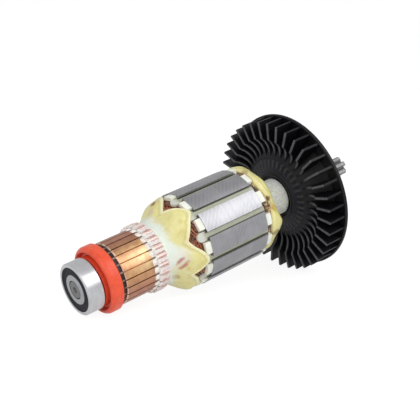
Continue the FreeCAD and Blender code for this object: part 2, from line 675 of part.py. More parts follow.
def main():
    """Make every piece and write it."""
    os.makedirs("parts", exist_ok=True)
    bars = commutator_bars()
    wedges = slot_wedges()
    front_insulator = end_insulator(FRONT_FACE)
    write_piece("shaft", shaft())
    write_piece("bearing_outer_ring", bearing_outer_ring())
    write_piece("bearing_inner_ring", bearing_inner_ring())
    write_piece("bearing_front_seal", bearing_seal())
    write_piece("bearing_rear_seal", bearing_seal(facing_rear=True))
    write_piece("bearing_balls", bearing_balls())
    write_piece("bearing_cage", bearing_cage())
    write_piece("dust_ring", dust_ring())
    write_piece("commutator_bush", commutator_bush())
    write_piece("commutator_moulding", commutator_moulding(bars))
    write_piece("commutator_bars", bars)
    write_piece("lead_wires", lead_wires())
    write_piece("insulating_tube", insulating_tube())
    write_piece("lamination_core", lamination_core())
    write_piece("front_end_insulator", front_insulator)
    write_piece("rear_end_insulator", end_insulator(CORE_END))
    write_piece("slot_liners", slot_liners())
    write_piece("slot_coils", slot_coils())
    write_piece("slot_wedges", wedges)
    write_piece("front_coil_ends", front_coil_ends())
    write_piece("front_winding_resin", front_winding_resin(wedges, front_insulator))
    write_piece("rear_coil_ends", rear_coil_ends())
    write_piece("rear_winding_resin", rear_winding_resin())
    write_piece("fan", fan())
    print("tilt", round(resting_tilt(), 3))


main()
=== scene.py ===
import json
import logging
import math
from dataclasses import dataclass, field
from enum import Enum
from functools import reduce

import bpy
import numpy as np
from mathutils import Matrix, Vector


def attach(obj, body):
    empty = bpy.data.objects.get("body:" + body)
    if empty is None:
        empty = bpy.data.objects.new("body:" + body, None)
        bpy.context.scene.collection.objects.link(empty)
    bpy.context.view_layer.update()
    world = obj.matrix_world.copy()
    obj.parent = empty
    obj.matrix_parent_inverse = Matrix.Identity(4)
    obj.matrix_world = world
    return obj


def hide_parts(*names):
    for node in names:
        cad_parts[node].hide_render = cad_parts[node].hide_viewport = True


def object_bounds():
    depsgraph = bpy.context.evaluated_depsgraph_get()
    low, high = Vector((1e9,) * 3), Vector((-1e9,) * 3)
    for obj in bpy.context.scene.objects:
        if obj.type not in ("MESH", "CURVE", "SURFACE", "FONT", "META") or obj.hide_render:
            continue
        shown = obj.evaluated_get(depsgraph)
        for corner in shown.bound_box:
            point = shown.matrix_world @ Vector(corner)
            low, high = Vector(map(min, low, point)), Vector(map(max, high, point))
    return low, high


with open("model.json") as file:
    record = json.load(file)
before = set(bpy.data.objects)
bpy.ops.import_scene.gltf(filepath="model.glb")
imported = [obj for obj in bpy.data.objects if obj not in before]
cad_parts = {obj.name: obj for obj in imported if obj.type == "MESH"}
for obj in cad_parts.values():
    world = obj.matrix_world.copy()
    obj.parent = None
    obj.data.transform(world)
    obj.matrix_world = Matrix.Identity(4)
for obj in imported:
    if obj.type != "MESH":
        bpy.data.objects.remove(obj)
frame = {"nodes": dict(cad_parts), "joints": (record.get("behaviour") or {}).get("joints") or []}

# Motor armature lying on its fan and its dust ring. Sizes in the classes are millimetres.
# A station is the distance along the shaft from the outer face of the bearing, and an angle
# turns about the shaft from straight up towards the side of the row's minus Y.

MM = 0.001
ROTOR = "rotor"
TONE = "tone"
# Degrees from bar to bar and from slot to slot, and where the first ones are.
BAR_PITCH = 15.0
FIRST_SLIT = 11.25
SLOT_PITCH = 30.0
FIRST_SLOT = 11.25
# The side of the commutator that faces the key lamp, as an angle about the shaft, where painted highlights
# lie.
KEY_LIT_SIDE = 62.0
GOLDEN_RATIO = 0.618
# A direction that no wire follows, to start its cross section from.
SKEW = (0.13, 0.31, 0.94)
CAD_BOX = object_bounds()
Socket = bpy.types.NodeSocket
Array = np.ndarray
Triple = tuple[float, float, float]
log = logging.getLogger("armature")


def linear(code: str) -> tuple[float, float, float, float]:
    """Turns a written colour into the linear values that a shader takes.

    Args:
        code: six hexadecimal digits, two each for red, green and blue.

    Returns:
        Red, green, blue and an alpha of one.
    """
    parts = np.array([int(code[i : i + 2], 16) for i in (0, 2, 4)]) / 255
    low = parts / 12.92
    high = ((parts + 0.055) / 1.055) ** 2.4
    return (*np.where(parts <= 0.04045, low, high).tolist(), 1.0)


def smoothstep(value: Array) -> Array:
    """Three squares less two cubes of a value held between nought and one."""
    held = np.clip(value, 0, 1)
    return held * held * (3 - 2 * held)


@dataclass(frozen=True)
class ShaftLine:
    """The shaft's line in the frame, from which every piece takes its place."""

    axis: Triple
    half_bearing: float = 3.5

    @property
    def tilt(self) -> float:
        """The shaft's slope above the floor, in radians."""
        return math.atan2(self.axis[2], self.axis[0])

    def vectors(self) -> tuple[Array, Array, Array]:
        """Works out the shaft's own directions in the frame.

        Returns:
            Unit vectors along the shaft, up from it, and to the side of minus Y.
        """
        along = np.array([math.cos(self.tilt), 0, math.sin(self.tilt)])
        up = np.array([-math.sin(self.tilt), 0, math.cos(self.tilt)])
        return along, up, np.array([0.0, -1.0, 0.0])

    def place(self, station: Array, radius: Array, angle: Array) -> Array:
        """Turns shaft coordinates into points of the frame.

        The point is along times the station, plus radius times the cosine of the angle
        upwards, plus radius times its sine to the side.

        Args:
            station: distances along the shaft, millimetres.
            radius: distances from the shaft's line, millimetres.
            angle: angles about the shaft, degrees.

        Returns:
            Points in metres, with one more axis of length three.
        """
        along, up, side = self.vectors()
        turn = np.radians(angle)
        station, radius, turn = np.broadcast_arrays(station - self.half_bearing, radius, turn)
        rise = radius * np.cos(turn)
        lean = radius * np.sin(turn)
        return (station[..., None] * along + rise[..., None] * up + lean[..., None] * side) * MM

    def reach(self, node: str) -> tuple[float, float]:
        """Measures a CAD node along and about the shaft.

        Args:
            node: the node's name.

        Returns:
            The station where it begins and its largest radius, millimetres.
        """
        mesh = frame["nodes"][node].data
        points = np.empty(len(mesh.vertices) * 3, np.float32)
        mesh.vertices.foreach_get("co", points)
        points = points.reshape(-1, 3) / MM
        along, up, side = self.vectors()
        station = points @ along + self.half_bearing
        radius = np.hypot(points @ up, points @ side)
        return float(station.min()), float(radius.max())


def add_mesh(
    name: str, points: Array, corners: Array, starts: Array, tone: Array | None = None
) -> bpy.types.Object:
    """Makes a smooth mesh object from whole arrays.

    Args:
        name: the object's name.
        points: one row of three for each vertex, metres.
        corners: vertex numbers of every face, one face after the other.
        starts: where each face begins in corners.
        tone: one value for each vertex, which the finish may read.

    Returns:
        The new object, linked to the scene.
    """
    mesh = bpy.data.meshes.new(name)
    mesh.vertices.add(len(points))
    mesh.vertices.foreach_set("co", points.astype(np.float32).ravel())
    mesh.loops.add(len(corners))
    mesh.loops.foreach_set("vertex_index", corners.astype(np.int32))
    mesh.polygons.add(len(starts))
    mesh.polygons.foreach_set("loop_start", starts.astype(np.int32))
    mesh.update(calc_edges=True)
    mesh.validate()
    mesh.shade_smooth()
    if tone is not None:
        stored = mesh.attributes.new(TONE, "FLOAT", "POINT")
        stored.data.foreach_set("value", tone.astype(np.float32).ravel())
    thing = bpy.data.objects.new(name, mesh)
    bpy.context.scene.collection.objects.link(thing)
    return thing


def ring_surface(name: str, grid: Array, tone: Array | None = None) -> bpy.types.Object:
    """Joins a grid that closes on itself both ways into one closed skin.

    Each point joins the next of its row and the next row, and the last row and column join
    the first. The sign of the enclosed volume, a sixth of the sum of each corner triple's
    box product, decides which way round the faces run, so that they point outwards.

    Args:
        name: the object's name.
        grid: points as rows around the shaft and columns around the section.
        tone: one value for each point of the grid.

    Returns:
        The new object.
    """
    rows, columns = grid.shape[:2]
    index = np.arange(rows * columns).reshape(rows, columns)
    after = np.roll(index, -1, axis=0)
    quads = np.stack([index, after, np.roll(after, -1, axis=1), np.roll(index, -1, axis=1)], axis=-1)
    quads = quads.reshape(-1, 4)
    points = grid.reshape(-1, 3)
    a, b, c, d = (points[quads[:, i]] for i in range(4))
    volume = np.einsum("ij,ij->", a, np.cross(b, c)) + np.einsum("ij,ij->", a, np.cross(c, d))
    if volume < 0:
        quads = quads[:, ::-1]
    return add_mesh(name, points, quads.ravel(), np.arange(len(quads)) * 4, tone)


def strands(name: str, lines: Array, radius: float, sides: int = 7) -> bpy.types.Object:
    """Makes round strands along many centre lines at once.

    A ring of points stands square to each line: centre plus radius times the cosine of the
    turn along one normal and its sine along the other. Each end is closed by one face. The
    tone is the strand's number times the golden ratio, less its whole part.

    Args:
        name: the object's name.
        lines: centre lines in metres, as strands, points and coordinates.
        radius: the strand's radius, metres.
        sides: how many flats stand for the round.

    Returns:
        The new object.
    """
    count, length = lines.shape[:2]
    run = np.gradient(lines, axis=1)
    run /= np.linalg.norm(run, axis=-1, keepdims=True)
    first = np.cross(run, SKEW)
    first /= np.linalg.norm(first, axis=-1, keepdims=True)
    second = np.cross(run, first)
    turn = np.arange(sides) * 2 * np.pi / sides
    rings = lines[:, :, None] + radius * (
        first[:, :, None] * np.cos(turn)[:, None] + second[:, :, None] * np.sin(turn)[:, None]
    )
    index = np.arange(count * length * sides).reshape(count, length, sides)
    here, ahead = index[:, :-1], index[:, 1:]
    quads = np.stack([here, np.roll(here, -1, axis=2), np.roll(ahead, -1, axis=2), ahead], axis=-1)
    caps = np.concatenate([index[:, 0, ::-1], index[:, -1]]).ravel()
    corners = np.concatenate([quads.ravel(), caps])
    quad_count = quads.size // 4
    starts = np.concatenate([np.arange(quad_count) * 4, quads.size + np.arange(2 * count) * sides])
    tone = np.broadcast_to((np.arange(count) * GOLDEN_RATIO % 1)[:, None, None], (count, length, sides))
    return add_mesh(name, rings.reshape(-1, 3), corners, starts, tone)


def feed(socket: Socket, value: object) -> None:
    """Links a socket to another, or writes a plain value into it.

    Args:
        socket: the input that is fed.
        value: a socket, a plain value, or None, which leaves the input as it is.
    """
    if isinstance(value, Socket):
        socket.id_data.links.new(value, socket)
    elif value is not None:
        socket.default_value = value


def add_node(tree: bpy.types.NodeTree, kind: str, *inputs: object) -> bpy.types.Node:
    """Adds a shader node and fills its inputs in order.

    Args:
        tree: the tree that gets the node.
        kind: the node's kind, such as Math.
        inputs: a socket to link, a plain value, or None for an input that stays as it is.

    Returns:
        The new node.
    """
    node = tree.nodes.new("ShaderNode" + kind)
    for socket, value in zip(node.inputs, inputs):
        feed(socket, value)
    return node


class Recipe:
    """One material's nodes, added a step at a time."""

    def __init__(self, name: str, line: ShaftLine) -> None:
        """Starts an empty material whose coordinates follow the shaft.

        Args:
            name: the material's name.
            line: the shaft's line.
        """
        self.half_bearing = line.half_bearing
        self.material = bpy.data.materials.new(name)
        self.material.use_nodes = True
        self.tree = self.material.node_tree
        self.shader = self.tree.nodes["Principled BSDF"]
        turn = self.node("Mapping", self.node("TexCoord").outputs["Object"])
        turn.inputs["Rotation"].default_value = (0, line.tilt, 0)
        turn.inputs["Scale"].default_value = (1 / MM,) * 3
        self.point = turn.outputs["Vector"]
        x, y, z = self.node("SeparateXYZ", self.point).outputs
        self.station = self.math("ADD", x, line.half_bearing)
        self.radius = self.math("SQRT", self.math("ADD", self.times(y, y), self.times(z, z)))
        self.turn = self.math("ARCTAN2", self.times(y, -1.0), z)
        self.degrees = self.times(self.turn, 180 / math.pi)

    def node(self, kind: str, *inputs: object) -> bpy.types.Node:
        """Adds a node of that kind with its inputs in order."""
        return add_node(self.tree, kind, *inputs)

    def math(self, operation: str, *values: object) -> Socket:
        """Works out one step of arithmetic.

        Args:
            operation: what is done, such as ADD.
            values: one to three values or sockets.

        Returns:
            The result's socket.
        """
        node = self.node("Math", *values)
        node.operation = operation
        return node.outputs[0]

    def times(self, *factors: object) -> Socket:
        """The product of all the factors."""
        return reduce(lambda product, factor: self.math("MULTIPLY", product, factor), factors)

    def ease(self, value: object, start: float, end: float, low: float = 0.0, high: float = 1.0) -> Socket:
        """Passes smoothly from low to high while value goes from start to end.

        Args:
            value: the socket that is followed.
            start: where the change begins.
            end: where it is over.
            low: the result at the start.
            high: the result at the end.

        Returns:
            The result's socket.
        """
        node = self.node("MapRange", value, start, end, low, high)
        node.interpolation_type = "SMOOTHSTEP"
        return node.outputs[0]

    def along(self, *steps: float) -> Socket:
        """Eases the station. The steps are start, end, low and high."""
        return self.ease(self.station, *steps)

    def outward(self, *steps: float) -> Socket:
        """Eases the radius. The steps are start, end, low and high."""
        return self.ease(self.radius, *steps)

    def cloud(self, scale: float, *steps: float) -> Socket:
        """Eases cloudy noise of that scale. The steps are start, end, low and high."""
        return self.ease(self.speckle(scale), *steps)

    def wave(self, value: object, pitch: float) -> Socket:
        """A sine of value that swings between nought and one once in each pitch."""
        sine = self.math("SINE", self.times(value, 2 * math.pi / pitch))
        return self.math("MULTIPLY_ADD", sine, 0.5, 0.5)

    def phase(self, first: float, pitch: float) -> Socket:
        """How many pitches a place lies from the first repeat about the shaft."""
        return self.math("DIVIDE", self.math("SUBTRACT", self.degrees, first), pitch)

    def off_repeat(self, first: float, pitch: float) -> Socket:
        """How far a place lies from the nearest repeat, as a share of the pitch up to a half."""
        return self.math("PINGPONG", self.phase(first, pitch), 0.5)

    def facing(self, angle: float) -> Socket:
        """The cosine of the angle between a place and that side of the shaft, in degrees."""
        return self.math("COSINE", self.math("SUBTRACT", self.turn, math.radians(angle)))

    def speckle(
        self, scale: float, detail: float = 3.0, roughness: float = 0.55, at: object = None
    ) -> Socket:
        """Cloudy noise from nought to one.

        Args:
            scale: swings in each millimetre, about.
            detail: how many finer layers are added.
            roughness: how strong the finer layers are.
            at: the point it is read at, the shaft's own by default.

        Returns:
            The noise value's socket.
        """
        return self.node("TexNoise", at or self.point, None, scale, detail, roughness).outputs["Fac"]

    def combine(self, x: object, y: object, z: object) -> Socket:
        """Joins three values into a point."""
        return self.node("CombineXYZ", x, y, z).outputs[0]

    def turned(self, per_mm: float, per_radian: float = 0.8) -> Socket:
        """Noise drawn out around the shaft, as a lathe or a grinding wheel leaves it.

        Args:
            per_mm: swings in each millimetre along the shaft and outwards.
            per_radian: swings in each radian about the shaft.

        Returns:
            The noise value's socket.
        """
        station, radius = (self.times(value, per_mm) for value in (self.station, self.radius))
        where = self.combine(station, radius, self.times(self.turn, per_radian))
        return self.speckle(1.0, 4.0, 0.7, where)

    def blend(self, factor: object, first: object, second: object) -> Socket:
        """Mixes two colours, each a socket, linear values or six hexadecimal digits.

        Args:
            factor: the share of the second, from nought to one.
            first: the colour where the factor is nought.
            second: the colour where the factor is one.

        Returns:
            The mixed colour's socket.
        """
        node = self.node("Mix")
        node.data_type = "RGBA"
        feed(node.inputs[0], factor)
        for socket, colour in zip(node.inputs[6:8], (first, second)):
            feed(socket, linear(colour) if isinstance(colour, str) else colour)
        return node.outputs[2]

    def paint(self, colour: object, *shares: object) -> None:
        """Lays a colour over what the shader has so far.

        Args:
            colour: a socket or six hexadecimal digits.
            shares: how strongly it covers at each place, as the factors of a product.
        """
        base = self.shader.inputs["Base Color"]
        below = base.links[0].from_socket if base.is_linked else tuple(base.default_value)
        feed(base, self.blend(self.times(*shares), below, colour))

    def spot(self, station: float, radius: float, angle: float, size: float, share: float) -> Socket:
        """A soft round patch on the surface, uneven at its rim.

        It falls by a smooth step of the distance from its middle.

        Args:
            station: where its middle lies along the shaft.
            radius: how far its middle lies from the shaft's line.
            angle: where its middle lies about the shaft, degrees.
            size: how far it reaches, millimetres.
            share: its strength at the middle.

        Returns:
            The patch's strength at each place.
        """
        turn = math.radians(angle)
        middle = (station - self.half_bearing, -radius * math.sin(turn), radius * math.cos(turn))
        node = self.node("VectorMath", self.point, middle)
        node.operation = "DISTANCE"
        ragged = self.math("ADD", node.outputs["Value"], self.cloud(0.6, 0.2, 0.8, -0.8, 0.8))
        return self.ease(ragged, size * 0.35, size, share, 0.0)

    def tone(self) -> Socket:
        """Reads the value that a new piece stores for each vertex.

        Returns:
            The value's socket, nought on any other piece.
        """
        node = self.node("Attribute")
        node.attribute_name = TONE
        return node.outputs["Fac"]

    def relief(self, height: Socket, depth: float) -> None:
        """Adds a bump over whatever bump is there.

        Args:
            height: the bump's height at each place, from nought to one.
            depth: what a height of one stands for, millimetres.
        """
        node = self.node("Bump")
        feed(node.inputs["Distance"], depth * MM)
        feed(node.inputs["Height"], height)
        normal = self.shader.inputs["Normal"]
        if normal.is_linked:
            feed(node.inputs["Normal"], normal.links[0].from_socket)
        feed(normal, node.outputs[0])

    def give(self, socket: str, value: object) -> None:
        """Writes or links one of the shader's own sockets."""
        feed(self.shader.inputs[socket], value)

    def coat(self, weight: float, roughness: float) -> None:
        """Lays a clear coat over all."""
        self.give("Coat Weight", weight)
        self.give("Coat Roughness", roughness)

    def glow(self, weight: float, shares: Triple, depth: float) -> None:
        """Lets light sink in and come out again near by.

        Args:
            weight: how much of the light does.
            shares: how far red, green and blue go, as shares of the depth.
            depth: the depth, millimetres.
        """
        self.give("Subsurface Weight", weight)
        self.give("Subsurface Radius", shares)
        self.give("Subsurface Scale", depth * MM)


@dataclass(frozen=True)
class Finish:
    """What every finish has: a name, a colour, and how it shines."""

    name: str
    colour: str
    roughness: float
    metal: float = 0.0
    specular: float = 0.5

    def mix(self, recipe: Recipe) -> None:
        """Adds the finish's own pattern. Each kind of finish has one."""
        raise NotImplementedError

    def make(self, line: ShaftLine) -> bpy.types.Material:
        """Makes the material.

        Args:
            line: the shaft's line, which the pattern follows.

        Returns:
            The finished material.
        """
        recipe = Recipe(self.name, line)
        recipe.give("Metallic", self.metal)
        recipe.give("Roughness", self.roughness)
        recipe.give("Specular IOR Level", self.specular)
        recipe.give("Base Color", linear(self.colour))
        self.mix(recipe)
        return recipe.material


@dataclass(frozen=True)
class MachinedSteel(Finish):
    """Steel that was turned or ground about the shaft, with a darker oily film in patches."""

    film: str = "7A7A78"
    lines_per_mm: float = 9.0
    line_depth: float = 0.004
    hole: float = 0.0
    shade_tone: str = "343432"
    metal: float = 1.0

    def mix(self, recipe: Recipe) -> None:
        """Lines round the shaft tint the steel and roughen it, and a soft film lies over it.

        A centre hole, where hole gives its radius, is darkened with painted shade.

        Args:
            recipe: the material's nodes.
        """
        lines = recipe.turned(self.lines_per_mm)
        recipe.paint(self.film, recipe.ease(lines, 0.3, 0.7, 0.0, 0.35))
        recipe.paint(self.film, recipe.cloud(0.35, 0.35, 0.75, 0.0, 0.5))
        # Painted shade inside the centre hole.
        if self.hole:
            recipe.paint(self.shade_tone, recipe.outward(self.hole - 0.3, self.hole + 0.2, 0.6, 0.0))
        recipe.give("Roughness", recipe.ease(lines, 0.2, 0.8, self.roughness, self.roughness + 0.12))
        recipe.relief(lines, self.line_depth)


@dataclass(frozen=True)
class CommutatorCopper(Finish):
    """Turned copper bars, dark along the slits and powdered with resin over the hooks, with painted
    highlights on the side that faces the key lamp.
    """

    worn: str = "A06E5C"
    highlight_gold: str = "FFCB90"
    sheen: str = "FFEBB8"
    sheen_from: float = 18.0
    sheen_full: float = 25.0
    soot_and_shade: str = "5A2A16"
    notch_shade: str = "24140C"
    bright: str = "F6E3D2"
    powder: str = "F8F2EE"
    bare: str = "DBA39A"
    track_start: float = 16.0
    track_end: float = 30.4
    lines_per_mm: float = 7.0
    line_depth: float = 0.005
    powder_depth: float = 0.12
    metal: float = 1.0

    def mix(self, recipe: Recipe) -> None:
        """Turning lines and stains, then sooty slit edges, a painted highlight on the front edge and the
        powder.

        The cosine of the angle from the side that faces the key lamp gives a gold painted highlight and a
        paler painted sheen in streaks. Each slit ends in a wedge of painted shade between two hooks.

        Args:
            recipe: the material's nodes.
        """
        lines = recipe.turned(self.lines_per_mm)
        # Painted highlight: a gold tone on the side that faces the key lamp.
        toward_key = recipe.facing(KEY_LIT_SIDE)
        recipe.paint(self.highlight_gold, recipe.ease(toward_key, 0.6, 0.97))
        recipe.paint(self.worn, recipe.ease(lines, 0.25, 0.75, 0.0, 0.45))
        recipe.paint(self.worn, recipe.cloud(0.35, 0.3, 0.75, 0.0, 0.45))
        # Painted sheen: a highlight in paler streaks on that side, towards the hooks.
        streaks = recipe.cloud(0.45, 0.3, 0.75, 0.1, 0.75)
        sheen_band = recipe.along(self.sheen_from, self.sheen_full)
        recipe.paint(self.sheen, streaks, recipe.ease(toward_key, 0.86, 0.99), sheen_band)
        bar = recipe.math("FLOOR", recipe.phase(FIRST_SLIT, BAR_PITCH))
        own = recipe.speckle(1.0, 0.0, 0.5, recipe.combine(bar, 0.5, 0.5))
        recipe.paint(self.worn, recipe.ease(own, 0.35, 0.65, 0.0, 0.35))
        off_slit = recipe.off_repeat(FIRST_SLIT, BAR_PITCH)
        recipe.paint(self.soot_and_shade, recipe.ease(off_slit, 0.02, 0.06, 0.6, 0.0))
        # Painted shade: a dark wedge at the open end of each slit, between two hooks.
        slit_end = recipe.along(self.track_end - 1.8, self.track_end - 0.6)
        recipe.paint(self.notch_shade, slit_end, recipe.ease(off_slit, 0.06, 0.13, 0.9, 0.0))
        # Painted highlight along the bars' front edge, in patches.
        front_edge = recipe.along(self.track_start + 0.25, self.track_start + 0.5, 1.0, 0.0)
        recipe.paint(self.bright, front_edge, recipe.cloud(0.7, 0.35, 0.55, 0.2, 0.85))
        edge = recipe.math("ADD", recipe.station, recipe.cloud(1.3, 0.2, 0.8, -0.8, 0.8))
        clear = recipe.ease(off_slit, 0.07, 0.15)
        packed = recipe.along(self.track_end + 0.9, self.track_end + 1.5)
        covered = recipe.ease(edge, self.track_end - 0.7, self.track_end + 0.3)
        powder = recipe.times(covered, recipe.math("MAXIMUM", clear, packed))
        grain = recipe.ease(recipe.speckle(2.2, 4.0), 0.42, 0.6)
        flank = recipe.ease(off_slit, 0.36, 0.44, 1.0, 0.15)
        behind = recipe.along(self.track_end + 1.2, self.track_end + 2.6)
        rubbed = recipe.times(grain, flank, behind, 0.8)
        recipe.paint(recipe.blend(rubbed, self.powder, self.bare), powder)
        recipe.give("Metallic", recipe.math("SUBTRACT", 1.0, powder))
        recipe.give("Roughness", recipe.ease(powder, 0.0, 1.0, self.roughness, 0.7))
        recipe.relief(lines, self.line_depth)
        recipe.relief(recipe.times(powder, grain), self.powder_depth)


@dataclass(frozen=True)
class LeadPowder(Finish):
    """Resin powder packed round the leads: white in the hollows, pink copper on the ridges."""

    soot_and_shade: str = "4A2418"
    pink: str = "E2A9A4"
    ridge: float = 13.95
    bare_from: float = 31.8
    grain_depth: float = 0.1

    def mix(self, recipe: Recipe) -> None:
        """The pink follows the radius, broken up by a fine grain. The slits' open ends get painted shade.

        Args:
            recipe: the material's nodes.
        """
        level = recipe.math("ADD", recipe.radius, recipe.cloud(1.8, 0.3, 0.7, -0.2, 0.2))
        bare = recipe.ease(level, self.ridge - 0.12, self.ridge + 0.12, 0.0, 0.75)
        recipe.paint(self.pink, bare, recipe.along(self.bare_from, self.bare_from + 1.0))
        # Painted shade in the open end of each slit, between the powder lumps.
        in_slit = recipe.ease(recipe.off_repeat(FIRST_SLIT, BAR_PITCH), 0.07, 0.15, 0.85, 0.0)
        open_end = recipe.along(self.bare_from - 0.6, self.bare_from, 1.0, 0.0)
        recipe.paint(self.soot_and_shade, in_slit, open_end)
        recipe.relief(recipe.speckle(3.0), self.grain_depth)


@dataclass(frozen=True)
class SlottedPhenolic(Finish):
    """Dark moulding with a pale tick in front of each slit between the bars."""

    second: str = "3A241A"
    tick: str = "C9A58C"
    tick_start: float = 14.5
    tick_end: float = 16.2
    dust_and_sheen: str = "743418"
    slit_highlight: str = "FFB878"
    dust_start: float = 16.4
    fade: float = 0.4
    skin_depth: float = 0.01

    def mix(self, recipe: Recipe) -> None:
        """Cloudy brown and black, ticks at each slit's angle, and copper dust down in the slits.

        The slits get a painted highlight on the side that faces the key lamp.

        Args:
            recipe: the material's nodes.
        """
        recipe.paint(self.second, recipe.ease(recipe.speckle(1.4, 4.0), 0.3, 0.7, 0.0, 0.7))
        near = recipe.ease(recipe.off_repeat(FIRST_SLIT, BAR_PITCH), 0.05, 0.12, 1.0, 0.0)
        behind = recipe.along(self.tick_start, self.tick_start + self.fade)
        before = recipe.along(self.tick_end, self.tick_end + self.fade, 1.0, 0.0)
        patchy = recipe.cloud(0.9, 0.35, 0.6, 0.2, 0.8)
        recipe.paint(self.tick, near, behind, before, patchy)
        in_slit = recipe.along(self.dust_start, self.dust_start + self.fade, 0.0, 0.8)
        recipe.paint(self.dust_and_sheen, in_slit)
        # Painted highlight: the slits are brighter on the side that faces the key lamp.
        lit_side = recipe.ease(recipe.facing(KEY_LIT_SIDE), 0.86, 0.97)
        recipe.paint(self.slit_highlight, in_slit, lit_side)
        recipe.relief(recipe.speckle(5.0, 2.0), self.skin_depth)


@dataclass(frozen=True)
class Laminations(Finish):
    """Stacked sheet steel: a faint line at each sheet's edge, slanted by grinding."""

    seam: str = "6E6E72"
    sheet: float = 0.5
    chatter: float = 2.1
    slant: float = 17.0
    seam_depth: float = 0.0025
    metal: float = 1.0

    def mix(self, recipe: Recipe) -> None:
        """Sheet edges every half millimetre in patches, crossed by slanting grinding chatter.

        The chatter is a wave of the station plus the turn times the slant.

        Args:
            recipe: the material's nodes.
        """
        seams = recipe.ease(recipe.wave(recipe.station, self.sheet), 0.35, 0.9)
        patches = recipe.ease(recipe.speckle(0.12, 2.0), 0.35, 0.65, 0.06, 0.3)
        slanted = recipe.math("MULTIPLY_ADD", recipe.turn, self.slant, recipe.station)
        chatter = recipe.wave(slanted, self.chatter)
        grain = recipe.turned(3.0)
        recipe.paint(self.seam, seams, patches)
        recipe.paint(self.seam, chatter, recipe.ease(patches, 0.06, 0.3, 0.04, 0.2))
        recipe.paint(self.seam, recipe.ease(grain, 0.35, 0.75, 0.0, 0.18))
        recipe.give("Roughness", recipe.ease(grain, 0.2, 0.8, self.roughness - 0.03, self.roughness + 0.06))
        recipe.relief(seams, self.seam_depth)


class Grain(Enum):
    """Which way a moulded or pressed stuff's grain runs."""

    CLOUDY = "cloudy"
    ROUND = "round"
    LENGTHWISE = "lengthwise"


@dataclass(frozen=True)
class Moulded(Finish):
    """Plastic, rubber, paper or fibre: two tones in a grain, and a fine skin texture."""

    second: str = "808080"
    grain: Grain = Grain.CLOUDY
    contrast: float = 0.5
    swings: float = 0.6
    skin_depth: float = 0.01
    skin_swings: float = 6.0
    glow: float = 0.0
    stretch: float = 0.12
    per_degree: float = 0.35

    def pattern(self, recipe: Recipe) -> Socket:
        """Noise drawn out the way that the grain runs.

        Args:
            recipe: the material's nodes.

        Returns:
            The noise value's socket.
        """
        if self.grain is Grain.ROUND:
            return recipe.turned(self.swings)
        if self.grain is Grain.LENGTHWISE:
            where = recipe.combine(
                recipe.times(recipe.station, self.swings * self.stretch),
                recipe.times(recipe.degrees, self.swings * self.per_degree),
                recipe.times(recipe.radius, self.swings),
            )
            return recipe.speckle(1.0, 4.0, 0.6, where)
        return recipe.speckle(self.swings, 4.0)

    def mix(self, recipe: Recipe) -> None:
        """The second tone fades in with the grain, and a fine bump covers all.

        Args:
            recipe: the material's nodes.
        """
        recipe.paint(self.second, recipe.ease(self.pattern(recipe), 0.3, 0.7, 0.0, self.contrast))
        skin = recipe.speckle(self.skin_swings, 2.0)
        recipe.give("Roughness", recipe.ease(skin, 0.2, 0.8, self.roughness - 0.06, self.roughness + 0.08))
        recipe.relief(skin, self.skin_depth)
        if self.glow:
            recipe.glow(self.glow, (1.0, 0.6, 0.3), 1.2)


@dataclass(frozen=True)
class RingPlastic(Moulded):
    """The dust ring's plastic, with painted shade inside its rim."""

    recess_shade: str = "BE2A10"
    rim: float = 13.1

    def mix(self, recipe: Recipe) -> None:
        """The painted shade lies where the radius is less than the rim's."""
        super().mix(recipe)
        # Painted shade on the recessed face inside the rim.
        recipe.paint(self.recess_shade, recipe.outward(self.rim - 0.5, self.rim + 0.6, 0.42, 0.0))


@dataclass(frozen=True)
class WedgeFibre(Moulded):
    """Pressed fibre along the slots, with painted shade at the slot's edges and a painted highlight on the
    tongues that stick out in front.
    """

    tongue_highlight: str = "D3D4CA"
    tongue_end: float = 53.6
    shade_tone: str = "2E2D24"
    edge_at: float = 3.2

    def mix(self, recipe: Recipe) -> None:
        """The lengthwise grain, then a paler painted highlight in front of the insulator.

        Painted shade darkens both edges of the slot. Its place is the distance to the nearest slot's
        middle, as an angle.

        Args:
            recipe: the material's nodes.
        """
        super().mix(recipe)
        # Painted shade along both edges of each slot.
        off_middle = recipe.times(recipe.off_repeat(FIRST_SLOT, SLOT_PITCH), SLOT_PITCH)
        edge = recipe.ease(off_middle, self.edge_at - 1.0, self.edge_at, 0.0, 0.85)
        in_slot = recipe.along(self.tongue_end - 0.5, self.tongue_end + 0.5)
        recipe.paint(self.shade_tone, edge, in_slot)
        # Painted highlight: the tongues in front are paler where the lamps light them.
        recipe.paint(self.tongue_highlight, recipe.along(self.tongue_end - 2.0, self.tongue_end, 0.85, 0.0))


